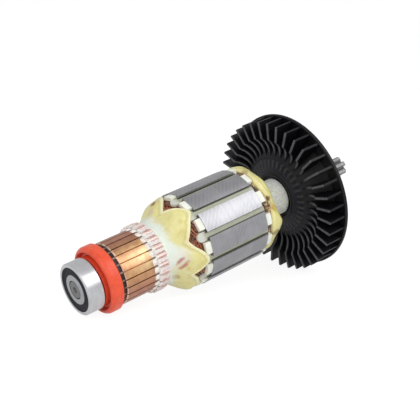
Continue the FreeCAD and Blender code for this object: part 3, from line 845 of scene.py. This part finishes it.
@dataclass(frozen=True)
class FanPlastic(Moulded):
    """Black plastic, scuffed paler along the front edges of the blades, with painted highlights round the
    hub and on the ridges in the dish.
    """

    scuff: str = "58585C"
    dust_and_sheen: str = "1F1F29"
    blade_front: float = 106.6
    shoulder: float = 27.7
    root: float = 16.6
    scallop: float = 2.9
    blades: int = 38
    first_blade: float = 184.737
    run_out: float = 13.2
    hub: float = 11.0
    ridge_height: float = 0.5

    def mix(self, recipe: Recipe) -> None:
        """The scuff lies where a point is within half a millimetre of the blade's front edge.

        That edge is flat outside the shoulder. Inside it, it falls back by a parabola of the radius between
        shoulder and root. Inside the root, each blade runs out into the dish as a low ridge with a painted
        highlight, and a band of painted highlight lies round the hub.

        Args:
            recipe: the material's nodes.
        """
        super().mix(recipe)
        inward = recipe.math("SUBTRACT", self.shoulder, recipe.radius)
        inward = recipe.math("DIVIDE", inward, self.shoulder - self.root)
        inward = recipe.math("MINIMUM", recipe.math("MAXIMUM", inward, 0.0), 1.0)
        arch = recipe.times(inward, recipe.math("SUBTRACT", 1.0, inward))
        edge = recipe.math("MULTIPLY_ADD", arch, 4 * self.scallop, self.blade_front)
        near_edge = recipe.ease(recipe.math("SUBTRACT", recipe.station, edge), 0.05, 0.5, 1.0, 0.0)
        outside_hub = recipe.outward(self.root + 1.5, self.root + 8.5, 0.12, 1.0)
        worn = recipe.cloud(0.8, 0.2, 0.7, 0.45, 1.0)
        on_ridge = recipe.ease(recipe.off_repeat(self.first_blade, 360 / self.blades), 0.0, 0.3, 1.0, 0.0)
        rising = recipe.outward(self.run_out, self.root)
        ending = recipe.outward(self.root + 0.6, self.root + 1.6, 1.0, 0.0)
        in_front = recipe.along(self.blade_front + 2.3, self.blade_front + 2.8, 1.0, 0.0)
        ridge = recipe.times(on_ridge, rising, ending, in_front)
        # Painted highlight: a paler band round the hub.
        round_hub = recipe.outward(self.hub, self.hub + 1.6)
        inside_root = recipe.outward(self.hub + 2.0, self.root + 1.5, 0.9, 0.0)
        recipe.paint(self.dust_and_sheen, round_hub, inside_root, in_front)
        # Painted highlight along the low ridges in the dish.
        recipe.paint(self.scuff, ridge, 0.3)
        recipe.paint(self.scuff, near_edge, outside_hub, worn)
        recipe.relief(ridge, self.ridge_height)


@dataclass(frozen=True)
class Patch:
    """A place where something shows through the resin."""

    station: float
    radius: float
    angle: float
    size: float
    share: float
    colour: str
    streak: float = 0.0


@dataclass(frozen=True)
class CastResin(Finish):
    """Waxy resin: white where it runs off the commutator, yellow over the coils."""

    white: str = "E9F0E6"
    amber: str = "D2C26C"
    white_until: float = 38.5
    yellow_from: float = 43.5
    rim: str = "F6F0CC"
    crease: str = "C2B260"
    crease_at: float = 0.58
    slant: float = 16.0
    sag_depth: float = 0.35
    skin_depth: float = 0.012
    patches: tuple[Patch, ...] = ()

    def mix(self, recipe: Recipe) -> None:
        """White fades to yellow along the shaft, with amber folds and whatever shows through.

        The tone is one at the piece's edge and falls with the distance from it. It places a painted
        highlight on the rolled rim and painted shade along the crease behind it.

        Args:
            recipe: the material's nodes.
        """
        drift = recipe.ease(recipe.speckle(0.12, 2.0), 0.3, 0.7, -2.2, 2.2)
        yellow = recipe.ease(recipe.math("ADD", recipe.station, drift), self.white_until, self.yellow_from)
        ripe = recipe.blend(recipe.cloud(0.22, 0.42, 0.72, 0.0, 0.55), self.colour, self.amber)
        recipe.give("Base Color", recipe.blend(yellow, self.white, ripe))
        near_edge = recipe.math("ADD", recipe.tone(), recipe.cloud(0.5, 0.3, 0.7, -0.08, 0.08))
        # Painted highlight along the rolled rim.
        recipe.paint(self.rim, recipe.ease(near_edge, 0.62, 0.84, 0.0, 0.7))
        # Painted shade along the crease behind the rim.
        off_crease = recipe.math("ABSOLUTE", recipe.math("SUBTRACT", near_edge, self.crease_at))
        recipe.paint(self.crease, recipe.ease(off_crease, 0.0, 0.2, 0.25, 0.0))
        diagonal = recipe.math("MULTIPLY_ADD", recipe.turn, self.slant, recipe.station)
        for patch in self.patches:
            place = recipe.spot(patch.station, patch.radius, patch.angle, patch.size, patch.share)
            if patch.streak:
                place = recipe.times(place, recipe.ease(recipe.wave(diagonal, patch.streak), 0.3, 0.7))
            recipe.paint(patch.colour, place)
        recipe.glow(0.3, (1.0, 0.8, 0.4), 1.4)
        recipe.coat(0.3, 0.25)
        recipe.relief(recipe.speckle(0.55, 2.0), self.sag_depth)
        recipe.relief(recipe.speckle(4.0, 2.0), self.skin_depth)


@dataclass(frozen=True)
class Enamel(Finish):
    """Enamelled copper wire, darker and browner where resin has soaked in, with painted glints."""

    soaked: str = "4A1608"
    bright: str = "C06A38"
    lump_depth: float = 0.03

    def mix(self, recipe: Recipe) -> None:
        """Dark patches of resin, then the bright colour: painted glints in streaks here and there, and a
        brighter tone on some wires than others.

        Args:
            recipe: the material's nodes.
        """
        recipe.paint(self.soaked, recipe.cloud(0.6, 0.35, 0.6))
        # Painted glints: the bright colour in streaks, and more of it on some wires.
        streak = recipe.ease(recipe.speckle(1.1, 2.0), 0.5, 0.68, 0.0, 0.7)
        share = recipe.math("MULTIPLY_ADD", recipe.ease(recipe.tone(), 0.55, 0.95), 0.6, streak)
        recipe.paint(self.bright, share)
        recipe.coat(0.6, 0.2)
        recipe.relief(recipe.speckle(2.2), self.lump_depth)


FRONT_PATCHES = (
    Patch(42.0, 16.5, 86.0, 5.0, 0.55, "F0EFEA"),
    Patch(41.3, 15.6, 97.0, 3.2, 0.35, "D9AAA4"),
    Patch(41.6, 15.8, 98.0, 4.0, 0.8, "B87A74", streak=3.3),
    # Partly copper showing through, partly painted shadow: a darker brown patch low on the star.
    Patch(40.0, 14.6, 127.0, 2.2, 0.5, "A5785A"),
    Patch(45.6, 19.4, -13.0, 1.9, 0.85, "7C5420"),
    Patch(42.5, 16.8, -10.0, 2.6, 0.5, "CDB4AC"),
)
REAR_PATCHES = (
    Patch(89.3, 18.9, 63.0, 2.4, 0.95, "6A3C10"),
    Patch(91.0, 18.8, 76.0, 2.2, 0.8, "C8A030"),
    Patch(90.2, 19.2, 8.0, 2.6, 0.6, "9A6A2E"),
    Patch(90.2, 19.2, 112.0, 2.6, 0.7, "8A6A3E"),
)
FINISHES: tuple[Finish, ...] = (
    MachinedSteel("ring_steel", "DCDDE0", 0.26, film="C4C5CA", lines_per_mm=2.5, line_depth=0.002),
    MachinedSteel("inner_ring_steel", "BDBEC1", 0.3, film="9FA0A4"),
    MachinedSteel("shaft_steel", "909091", 0.34, film="626263", lines_per_mm=4.0, hole=1.3),
    MachinedSteel("bush_steel", "8C8C8C", 0.4, film="6A6A68"),
    Moulded("seal_rubber", "2B2B33", 0.6, second="1E1E24", grain=Grain.ROUND, swings=2.5, specular=0.25),
    Moulded("cage_plastic", "3A3A36", 0.5, second="2C2C28"),
    RingPlastic("orange_plastic", "F45C38", 0.34, second="DE4020", swings=0.35, glow=0.12),
    SlottedPhenolic("phenolic", "17110E", 0.5),
    CommutatorCopper("bar_copper", "D39A80", 0.38),
    LeadPowder("lead_powder", "F8F4EE", 0.75),
    Enamel("lead_copper", "D9B3A4", 0.5, soaked="C98E7A", bright="F0DAD0"),
    Enamel("coil_enamel", "6C2A10", 0.26, soaked="3C140A", bright="BC6A32"),
    Enamel("rear_enamel", "7A4618", 0.4, soaked="44220C", bright="E0C890"),
    Laminations("core_steel", "B2B2B6", 0.38),
    Moulded("insulator_plastic", "F6F7EF", 0.5, second="E2E2C8", contrast=0.45, swings=0.4, glow=0.15),
    Moulded("liner_paper", "C4C2A6", 0.7, second="8E8A70", swings=1.2),
    WedgeFibre(
        "wedge_fibre", "BDBFAC", 0.5, second="989A84", grain=Grain.LENGTHWISE, swings=2.0, contrast=0.6
    ),
    CastResin("front_resin", "E9E29E", 0.36, patches=FRONT_PATCHES),
    CastResin(
        "rear_resin", "E8E49E", 0.36, white_until=60.0, yellow_from=70.0, rim="EFE4A4", patches=REAR_PATCHES
    ),
    Moulded(
        "tube_plastic", "FFFFFA", 0.5, second="D3D6CA", contrast=0.7, swings=1.1, skin_depth=0.015, glow=0.3
    ),
    FanPlastic(
        "fan_plastic", "08080D", 0.42, second="101018", contrast=0.6, specular=0.28, skin_depth=0.006
    ),
)


@dataclass
class SubAssembly:
    """A group of pieces that are built and dressed together."""

    line: ShaftLine
    coats: dict[str, bpy.types.Material]
    wears: dict[str, str] = field(default_factory=dict)

    def dress(self) -> None:
        """Gives each CAD node that the group keeps its finish."""
        for node, finish in self.wears.items():
            thing = frame["nodes"][node]
            for slot in thing.material_slots:
                slot.material = self.coats[finish]
            log.info("dressed %s in %s", node, finish)

    def build(self) -> None:
        """Makes the group's new pieces. A group that keeps its CAD nodes makes none."""

    def settle(self, thing: bpy.types.Object, finish: str, slot: str) -> None:
        """Gives a new piece its finish and lets it turn with the rotor.

        Args:
            thing: the new piece.
            finish: the finish's name.
            slot: the record's material slot that it stands for; not used.
        """
        thing.data.materials.append(self.coats[finish])
        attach(thing, ROTOR)
        log.info("made %s, %d faces", thing.name, len(thing.data.polygons))


def distance_to_repeat(angle: Array, first: float, pitch: float) -> Array:
    """Degrees from each angle to the nearest of a row of evenly spaced ones."""
    return (angle - first + pitch / 2) % pitch - pitch / 2


@dataclass
class Commutator(SubAssembly):
    """Copper bars in their moulding, with powdered leads between the hooks."""

    bars: int = 24
    first_bar: float = 18.75
    powder_start: float = 29.3
    leads_start: float = 31.3
    powder_end: float = 36.5
    run_out: float = 1.3
    lump_height: float = 0.85
    lump_width: float = 0.85
    lump_fade: float = 1.2
    bedding: float = 0.1
    floor_radius: float = 13.3
    powder_radius: float = 13.62
    ridge_height: float = 0.6
    ridge_offset: float = 1.2
    ridge_width: float = 0.34
    ripple_height: float = 0.05
    steps_in_bar: int = 40
    steps_along: int = 46

    def build(self) -> None:
        """Makes the powder that lies between the hooks.

        Its radius is a level, plus a bell curve over each of the two leads beside a hook, times
        a smooth step that lets it run out at the front, plus a ripple of two sines. In front of
        each hook's bend a lump lies on the bar: a bell curve across it between two smooth steps.
        """
        angle = np.linspace(0, 360, self.steps_in_bar * self.bars, endpoint=False)[:, None]
        station = np.linspace(self.powder_start, self.powder_end, self.steps_along)[None]
        across = np.radians(distance_to_repeat(angle, self.first_bar, BAR_PITCH)) * self.powder_radius
        off_ridge = (np.abs(across) - self.ridge_offset) / self.ridge_width
        ridge = self.ridge_height * np.exp(-(off_ridge**2))
        ripple = np.sin(station * 5.1 + angle * 0.9) + np.sin(station * 3.3 - angle * 0.47)
        ripple = self.ripple_height * ripple
        run_out = smoothstep((station - self.leads_start) / self.run_out)
        level = self.powder_radius - self.floor_radius + ridge + ripple
        lump = self.lump_height * np.exp(-((across / self.lump_width) ** 2))
        lump = lump + 2 * ripple - self.ripple_height
        lump_end = smoothstep((self.leads_start + 1 - station) / self.lump_fade)
        lump = lump * smoothstep(station - self.powder_start) * lump_end
        outer = self.floor_radius + np.maximum(np.maximum(level * run_out, lump), 0)
        inner = np.full_like(outer, self.floor_radius - self.bedding)
        stations = np.broadcast_to(station, outer.shape)
        section = np.concatenate([stations, stations[:, ::-1]], axis=1)
        radii = np.concatenate([outer, inner], axis=1)
        powder = ring_surface("lead_powder", self.line.place(section, radii, angle))
        self.settle(powder, "lead_powder", "winding_resin")


@dataclass
class Winding(SubAssembly):
    """What both ends of the winding share: six lobes of resin, and wires that cross in layers."""

    points: int = 6
    first_point: float = 41.25
    slots: int = 12
    wire: float = 0.38
    wires_in_slot: int = 16
    slot_spread: float = 6.5
    wires_start: float = 0.0
    wires_run: float = 0.0
    wires_sweep: float = 0.0
    layer: float = 0.4
    lift: float = 0.15
    steps_round: int = 480
    steps_in_wire: int = 22
    slope_stations: tuple[float, ...] = ()
    slope_radii: tuple[float, ...] = ()

    def around(self) -> Array:
        """Evenly spaced angles about the whole shaft, one for each row of a grid."""
        return np.linspace(0, 360, self.steps_round, endpoint=False)[:, None]

    def lobes(self, angle: Array) -> Array:
        """One at each point of the star and minus one in each valley, as a cosine."""
        return np.cos(np.radians(self.points * (angle - self.first_point)))

    def through(self, knots: tuple[tuple[float, float], ...], angle: Array) -> Array:
        """A station for each angle, straight from knot to knot and rounded a little.

        The rounding is the mean of five neighbours, taken twice.

        Args:
            knots: pairs of angle and station.
            angle: evenly spaced angles about the whole shaft, degrees.

        Returns:
            A station for each angle.
        """
        pairs = np.array(knots)
        station = np.interp(angle, pairs[:, 0], pairs[:, 1], period=360)
        near = (np.arange(len(angle))[:, None] + np.arange(-2, 3)) % len(angle)
        return station[near].mean(axis=1)[near].mean(axis=1)

    def crossing_wires(self, name: str, finish: str) -> None:
        """Makes the wires that leave each slot and cross to the next ones.

        A line's station goes from the wires' start by their run, shortened by a cosine of the
        wire's number, and its angle turns by their sweep on a smooth step of the way, half of
        the wires one way and half the other. Its radius is read from the coil's slope. Every
        second wire lies a layer higher, and a sine of the number lifts each a little.

        Args:
            name: the piece's name.
            finish: the finish's name.
        """
        way = np.linspace(0, 1, self.steps_in_wire)
        number = np.arange(self.wires_in_slot)
        slots = FIRST_SLOT + SLOT_PITCH * np.arange(self.slots)
        spread = np.linspace(-self.slot_spread, self.slot_spread, self.wires_in_slot)
        lean = np.where(number % 2 == 0, 1, -1) * self.wires_sweep
        turn = slots[:, None, None] + spread[None, :, None] + lean[None, :, None] * smoothstep(way)
        depth = 0.55 + 0.45 * np.cos(number * 2.4)
        run = self.wires_run * way[None, None] * depth[None, :, None]
        station = self.wires_start + run + np.zeros_like(turn)
        level = self.layer * (number % 2) + self.lift * np.sin(number * 1.7)
        radius = np.interp(station, self.slope_stations, self.slope_radii) + level[None, :, None]
        lines = self.line.place(station, radius, turn)
        wires = strands(name, lines.reshape(-1, len(way), 3), self.wire * MM)
        self.settle(wires, finish, "enamelled_copper")


@dataclass
class FrontWinding(Winding):
    """Coil ends between commutator and core, under a star of six resin points."""

    edge_knots: tuple[tuple[float, float], ...] = (
        (0, 48.0), (11, 45.0), (20, 47.5), (28, 51.2), (34, 52.8), (39, 52.4), (46, 50.3), (56, 48.3),
        (69, 45.9), (79, 47.6), (87, 50.3), (97, 52.7), (102, 52.5), (108, 50.0), (111, 47.7), (117, 45.7),
        (122, 46.5), (127, 48.5), (142, 50.9), (157, 52.6), (163, 52.2), (175, 49.2), (189, 45.5),
        (198, 47.2), (211, 51.6), (219, 52.6), (232, 49.6), (249, 45.6), (258, 47.3), (271, 51.7),
        (278, 52.5), (292, 49.2), (309, 45.3), (318, 47.5), (331, 51.6), (339, 52.7), (352, 50.2),
    )
    neck_radius: float = 12.9
    collar: float = 1.05
    flare_end: float = 48.2
    wall: float = 2.0
    sink: float = 1.1
    lip: float = 0.4
    lip_width: float = 1.1
    groove: float = 0.22
    groove_at: float = 2.3
    groove_width: float = 0.8
    rolled: float = 0.8
    least_wall: float = 0.9
    collar_width: float = 0.9
    sag: float = 0.16
    dent: float = 0.12
    tone_reach: float = 5.0
    steps_along: int = 70
    steps_over_rim: int = 12
    wires_start: float = 51.6
    wires_run: float = -6.5
    wires_sweep: float = 30.0
    slope_stations: tuple[float, ...] = (38.0, 41.0, 45.0, 48.0, 51.3)
    slope_radii: tuple[float, ...] = (11.4, 12.6, 16.3, 17.5, 17.75)

    def skin(self, station: Array, angle: Array, front: float, rim: float) -> Array:
        """The outer radius of the resin.

        It climbs from neck to rim by a smooth step of the way along, from a small collar at the
        hooks. A cosine lets it sink between the points, and two slow waves make it uneven.

        Args:
            station: distances along the shaft.
            angle: angles about the shaft, degrees.
            front: station of the front face.
            rim: the largest radius.

        Returns:
            A radius for each place.
        """
        way = (station - front) / (self.flare_end - front)
        sunk = self.sink * (self.lobes(angle) - 1) / 2 * smoothstep(way * 1.3)
        sag = self.sag * np.sin(np.radians(angle * 5 + 40)) * np.sin(way * 7 + 1) * smoothstep(way * 3)
        dent = self.dent * np.sin(np.radians(angle * 11)) * np.sin(way * 5) * smoothstep(way * 2)
        collar = self.collar * np.exp(-(((station - front) / self.collar_width) ** 2))
        return self.neck_radius + (rim - self.neck_radius) * smoothstep(way) + sunk + sag + dent + collar

    def build(self) -> None:
        """Makes the resin star and the wires that show in its valleys.

        Its section follows the skin from the hooks to the star's edge, rolls over it by half an
        ellipse and comes back inside the wall. A bell curve lifts the rim, and another sinks a
        groove behind it.
        """
        near, outer = self.line.reach("front_winding_resin")
        angle = self.around()
        half = self.wall / 2
        roll = half * self.rolled
        edge = self.through(self.edge_knots, angle) - roll
        station = near + (edge - near) * np.linspace(0, 1, self.steps_along)[None]
        radius = self.skin(station, angle, near, outer - self.lip)
        inside = edge - station
        radius = radius + self.lip * np.exp(-((inside / self.lip_width) ** 2))
        radius = radius - self.groove * np.exp(-(((inside - self.groove_at) / self.groove_width) ** 2))
        radius = np.minimum(radius, outer)
        turn = np.linspace(0, np.pi, self.steps_over_rim)[None, 1:-1]
        rim_station = edge + roll * np.sin(turn)
        rim_radius = radius[:, -1:] - half + half * np.cos(turn)
        wall = np.minimum(self.wall, self.least_wall + station - near)
        stations = np.concatenate([station, rim_station, station[:, ::-1]], axis=1)
        radii = np.concatenate([radius, rim_radius, (radius - wall)[:, ::-1]], axis=1)
        tone = 1 - smoothstep((edge + roll - stations) / self.tone_reach)
        star = ring_surface("front_resin_star", self.line.place(stations, radii, angle), tone)
        self.settle(star, "front_resin", "winding_resin")
        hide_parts("front_winding_resin")
        self.crossing_wires("front_coil_wires", "coil_enamel")


@dataclass
class RearWinding(Winding):
    """Coil ends behind the core, under a short lobed ring of resin round the sleeve."""

    shoulder_knots: tuple[tuple[float, float], ...] = (
        (5, 92.9), (24, 91.1), (42, 90.9), (60, 91.0), (75, 90.3), (86, 91.2), (97, 93.0), (108, 92.2),
        (125, 91.0), (143, 91.7), (158, 93.0), (172, 92.2), (191, 90.9), (206, 91.8), (221, 93.2),
        (236, 92.1), (251, 90.9), (266, 92.0), (281, 93.1), (296, 91.9), (311, 91.0), (330, 92.4),
        (350, 93.4),
    )
    lobe_shift: float = 3.0
    front_edge: float = 89.5
    front_wave: float = 0.9
    outer: float = 19.5
    outer_wave: float = 0.6
    crown_depth: float = 7.2
    face_depth: float = 3.1
    least_face: float = 95.3
    sleeve: float = 8.35
    rim_wall: float = 1.9
    crown_wall: float = 1.2
    face_wall: float = 2.0
    face_hollow: float = 0.5
    bead: float = 0.75
    swell: float = 0.25
    fold: float = 0.12
    tone_reach: float = 3.5
    steps_along: int = 16
    steps_over_crown: int = 20
    steps_inwards: int = 12
    steps_round_bead: int = 10
    wires_start: float = 86.8
    wires_run: float = 4.6
    wires_sweep: float = 34.0
    slope_stations: tuple[float, ...] = (87.1, 91.7, 93.7, 94.7)
    slope_radii: tuple[float, ...] = (17.75, 17.15, 15.55, 13.15)

    def build(self) -> None:
        """Makes the ring and the wires in front of it.

        Its section runs from the front edge along the rim to the shoulder, over a quarter of an
        ellipse to the rear face, in to the sleeve, back inside the wall, and round a bead at the
        front edge. The rim swells over each lobe and sinks in each valley by a cosine.
        """
        angle = self.around()
        lobes = self.lobes(angle + self.lobe_shift)
        front = self.front_edge - self.front_wave * lobes
        shoulder = self.through(self.shoulder_knots, angle)
        rim = self.outer + self.outer_wave * (lobes - 1)
        face = np.maximum(shoulder + self.face_depth, self.least_face)
        way = np.linspace(0, 1, self.steps_along)[None]
        turn = np.linspace(0, np.pi / 2, self.steps_over_crown)[None, 1:]
        inwards = np.linspace(0, 1, self.steps_inwards)[None, 1:]
        bead_turn = np.linspace(0, np.pi, self.steps_round_bead)[None, 1:-1]
        along = front + (shoulder - front) * way
        swollen = rim + (self.swell + self.fold * np.sin(np.radians(angle * 11))) * np.sin(np.pi * way)
        over = shoulder + (face - shoulder) * np.sin(turn)
        crown = rim - self.crown_depth * (1 - np.cos(turn))
        last = crown[:, -1:]
        inner_crown = np.maximum(crown[:, ::-1] - self.crown_wall, self.sleeve)
        inner_rim = np.maximum(swollen[:, ::-1] - self.rim_wall, self.sleeve)
        bead_middle = rim - self.rim_wall / 2
        section = (
            (along, swollen),
            (over, crown),
            (over[:, -1:] - self.face_hollow * inwards, last + (self.sleeve - last) * inwards),
            (over[:, ::-1] - self.face_wall, inner_crown),
            (along[:, ::-1], inner_rim),
            (front - self.bead * np.sin(bead_turn), bead_middle - self.rim_wall / 2 * np.cos(bead_turn)),
        )
        stations, radii = (np.concatenate(parts, axis=1) for parts in zip(*section))
        tone = 1 - smoothstep((stations - front) / self.tone_reach)
        ring = ring_surface("rear_resin_ring", self.line.place(stations, radii, angle), tone)
        self.settle(ring, "rear_resin", "winding_resin")
        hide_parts("rear_winding_resin")
        self.crossing_wires("rear_coil_wires", "rear_enamel")


@dataclass
class Studio:
    """The plain white floor, the soft lamps and the camera of the portrait."""

    camera_place: Triple = (-0.17639, -0.30416, 0.11707)
    camera_pitch: float = 76.12
    camera_turn: float = -38.33
    lens: float = 79.6
    sensor: float = 36.0
    nearest: float = 0.01
    floor_side: float = 3.0
    ambient: float = 0.58
    gloss_level: float = 0.64
    floor_white: float = 0.89
    floor_gloss: float = 0.6
    floor_shade: float = 0.22
    floor_bounce: float = 0.9
    key_direction: Triple = (0.406, -0.637, 0.654)
    key_distance: float = 0.55
    key_side: float = 0.4
    key_power: float = 1.15
    fill_direction: Triple = (-0.75, -0.45, 0.5)
    fill_power: float = 1.0
    fill_side: float = 0.6
    target: Triple = (0.055, 0.0, 0.012)

    def lit_by(self, tree: bpy.types.NodeTree, eye: float, gloss: float, rest: float) -> Socket:
        """A value that depends on who looks.

        Args:
            tree: the node tree that needs it.
            eye: the value for the camera.
            gloss: the value for reflections and what is seen through glass.
            rest: the value for plain light.

        Returns:
            The socket with that value.
        """
        path = add_node(tree, "LightPath")
        mirror = add_node(tree, "Math", path.outputs["Is Glossy Ray"], path.outputs["Is Transmission Ray"])
        mirror.operation = "MAXIMUM"
        value = rest
        for flag, level in ((mirror.outputs[0], gloss), (path.outputs["Is Camera Ray"], eye)):
            value = add_node(tree, "Mix", flag, None, value, level).outputs[0]
        return value

    def light(self, name: str, direction: Triple, power: float, side: float) -> None:
        """Hangs a square soft lamp that looks at the middle of the armature.

        Args:
            name: the lamp's name.
            direction: unit vector from the middle towards the lamp.
            power: watts.
            side: the lamp's side, metres.
        """
        lamp = bpy.data.lights.new(name, "AREA")
        lamp.shape = "SQUARE"
        lamp.size = side
        lamp.energy = power
        thing = bpy.data.objects.new(name, lamp)
        towards = Vector(direction).normalized()
        thing.location = Vector(self.target) + towards * self.key_distance
        thing.rotation_euler = towards.to_track_quat("Z", "Y").to_euler()
        bpy.context.scene.collection.objects.link(thing)

    def build(self) -> None:
        """Makes floor, world, lamps and camera."""
        scene = bpy.context.scene
        scene.view_settings.view_transform = "Standard"
        self.build_floor()
        self.build_world()
        self.light("key_softbox", self.key_direction, self.key_power, self.key_side)
        self.light("fill_softbox", self.fill_direction, self.fill_power, self.fill_side)
        camera = bpy.data.cameras.new("portrait_camera")
        camera.lens = self.lens
        camera.sensor_width = self.sensor
        camera.clip_start = self.nearest
        thing = bpy.data.objects.new("portrait_camera", camera)
        thing.location = self.camera_place
        thing.rotation_euler = (math.radians(self.camera_pitch), 0, math.radians(self.camera_turn))
        scene.collection.objects.link(thing)
        scene.camera = thing

    def build_floor(self) -> None:
        """A flat white floor under the lowest point, which keeps a faint shadow."""
        half = self.floor_side / 2
        level = CAD_BOX[0].z
        corners = [(-half, -half, level), (half, -half, level), (half, half, level), (-half, half, level)]
        mesh = bpy.data.meshes.new("floor")
        mesh.from_pydata(corners, [], [(0, 1, 2, 3)])
        floor = bpy.data.objects.new("floor", mesh)
        bpy.context.scene.collection.objects.link(floor)
        material = bpy.data.materials.new("floor_white")
        material.use_nodes = True
        tree = material.node_tree
        tree.nodes.clear()
        tone = self.lit_by(tree, self.floor_shade, self.floor_shade, self.floor_bounce)
        shine = self.lit_by(tree, self.floor_white, self.floor_gloss, 0.0)
        matte = add_node(tree, "BsdfDiffuse", tone)
        bright = add_node(tree, "Emission", None, shine)
        both = add_node(tree, "AddShader", matte.outputs[0], bright.outputs[0])
        add_node(tree, "OutputMaterial", both.outputs[0])
        mesh.materials.append(material)

    def build_world(self) -> None:
        """White where the eye looks, a little dimmer in reflections, and softer as plain light."""
        world = bpy.data.worlds.new("studio")
        world.use_nodes = True
        tree = world.node_tree
        back = tree.nodes["Background"]
        back.inputs["Color"].default_value = (1, 1, 1, 1)
        feed(back.inputs["Strength"], self.lit_by(tree, 1.0, self.gloss_level, self.ambient))
        bpy.context.scene.world = world


def main() -> None:
    """Builds the studio and every sub-assembly."""
    logging.basicConfig(level=logging.INFO, format="%(name)s: %(message)s")
    line = ShaftLine(tuple(frame["joints"][0]["axis"]))
    coats = {finish.name: finish.make(line) for finish in FINISHES}
    Studio().build()
    groups = [
        SubAssembly(line, coats, {
            "bearing_outer_ring": "ring_steel",
            "bearing_inner_ring": "inner_ring_steel",
            "bearing_balls": "ring_steel",
            "bearing_cage": "cage_plastic",
            "bearing_front_seal": "seal_rubber",
            "bearing_rear_seal": "seal_rubber",
        }),
        Commutator(line, coats, {
            "dust_ring": "orange_plastic",
            "commutator_moulding": "phenolic",
            "commutator_bars": "bar_copper",
            "commutator_bush": "bush_steel",
            "lead_wires": "lead_copper",
        }),
        SubAssembly(line, coats, {
            "lamination_core": "core_steel",
            "front_end_insulator": "insulator_plastic",
            "rear_end_insulator": "insulator_plastic",
            "slot_liners": "liner_paper",
            "slot_coils": "coil_enamel",
            "slot_wedges": "wedge_fibre",
        }),
        FrontWinding(line, coats, {"front_coil_ends": "coil_enamel"}),
        RearWinding(line, coats, {"rear_coil_ends": "rear_enamel"}),
        SubAssembly(line, coats, {
            "shaft": "shaft_steel",
            "insulating_tube": "tube_plastic",
            "fan": "fan_plastic",
        }),
    ]
    for group in groups:
        group.build()
        group.dress()


if __name__ == "__main__":
    main()
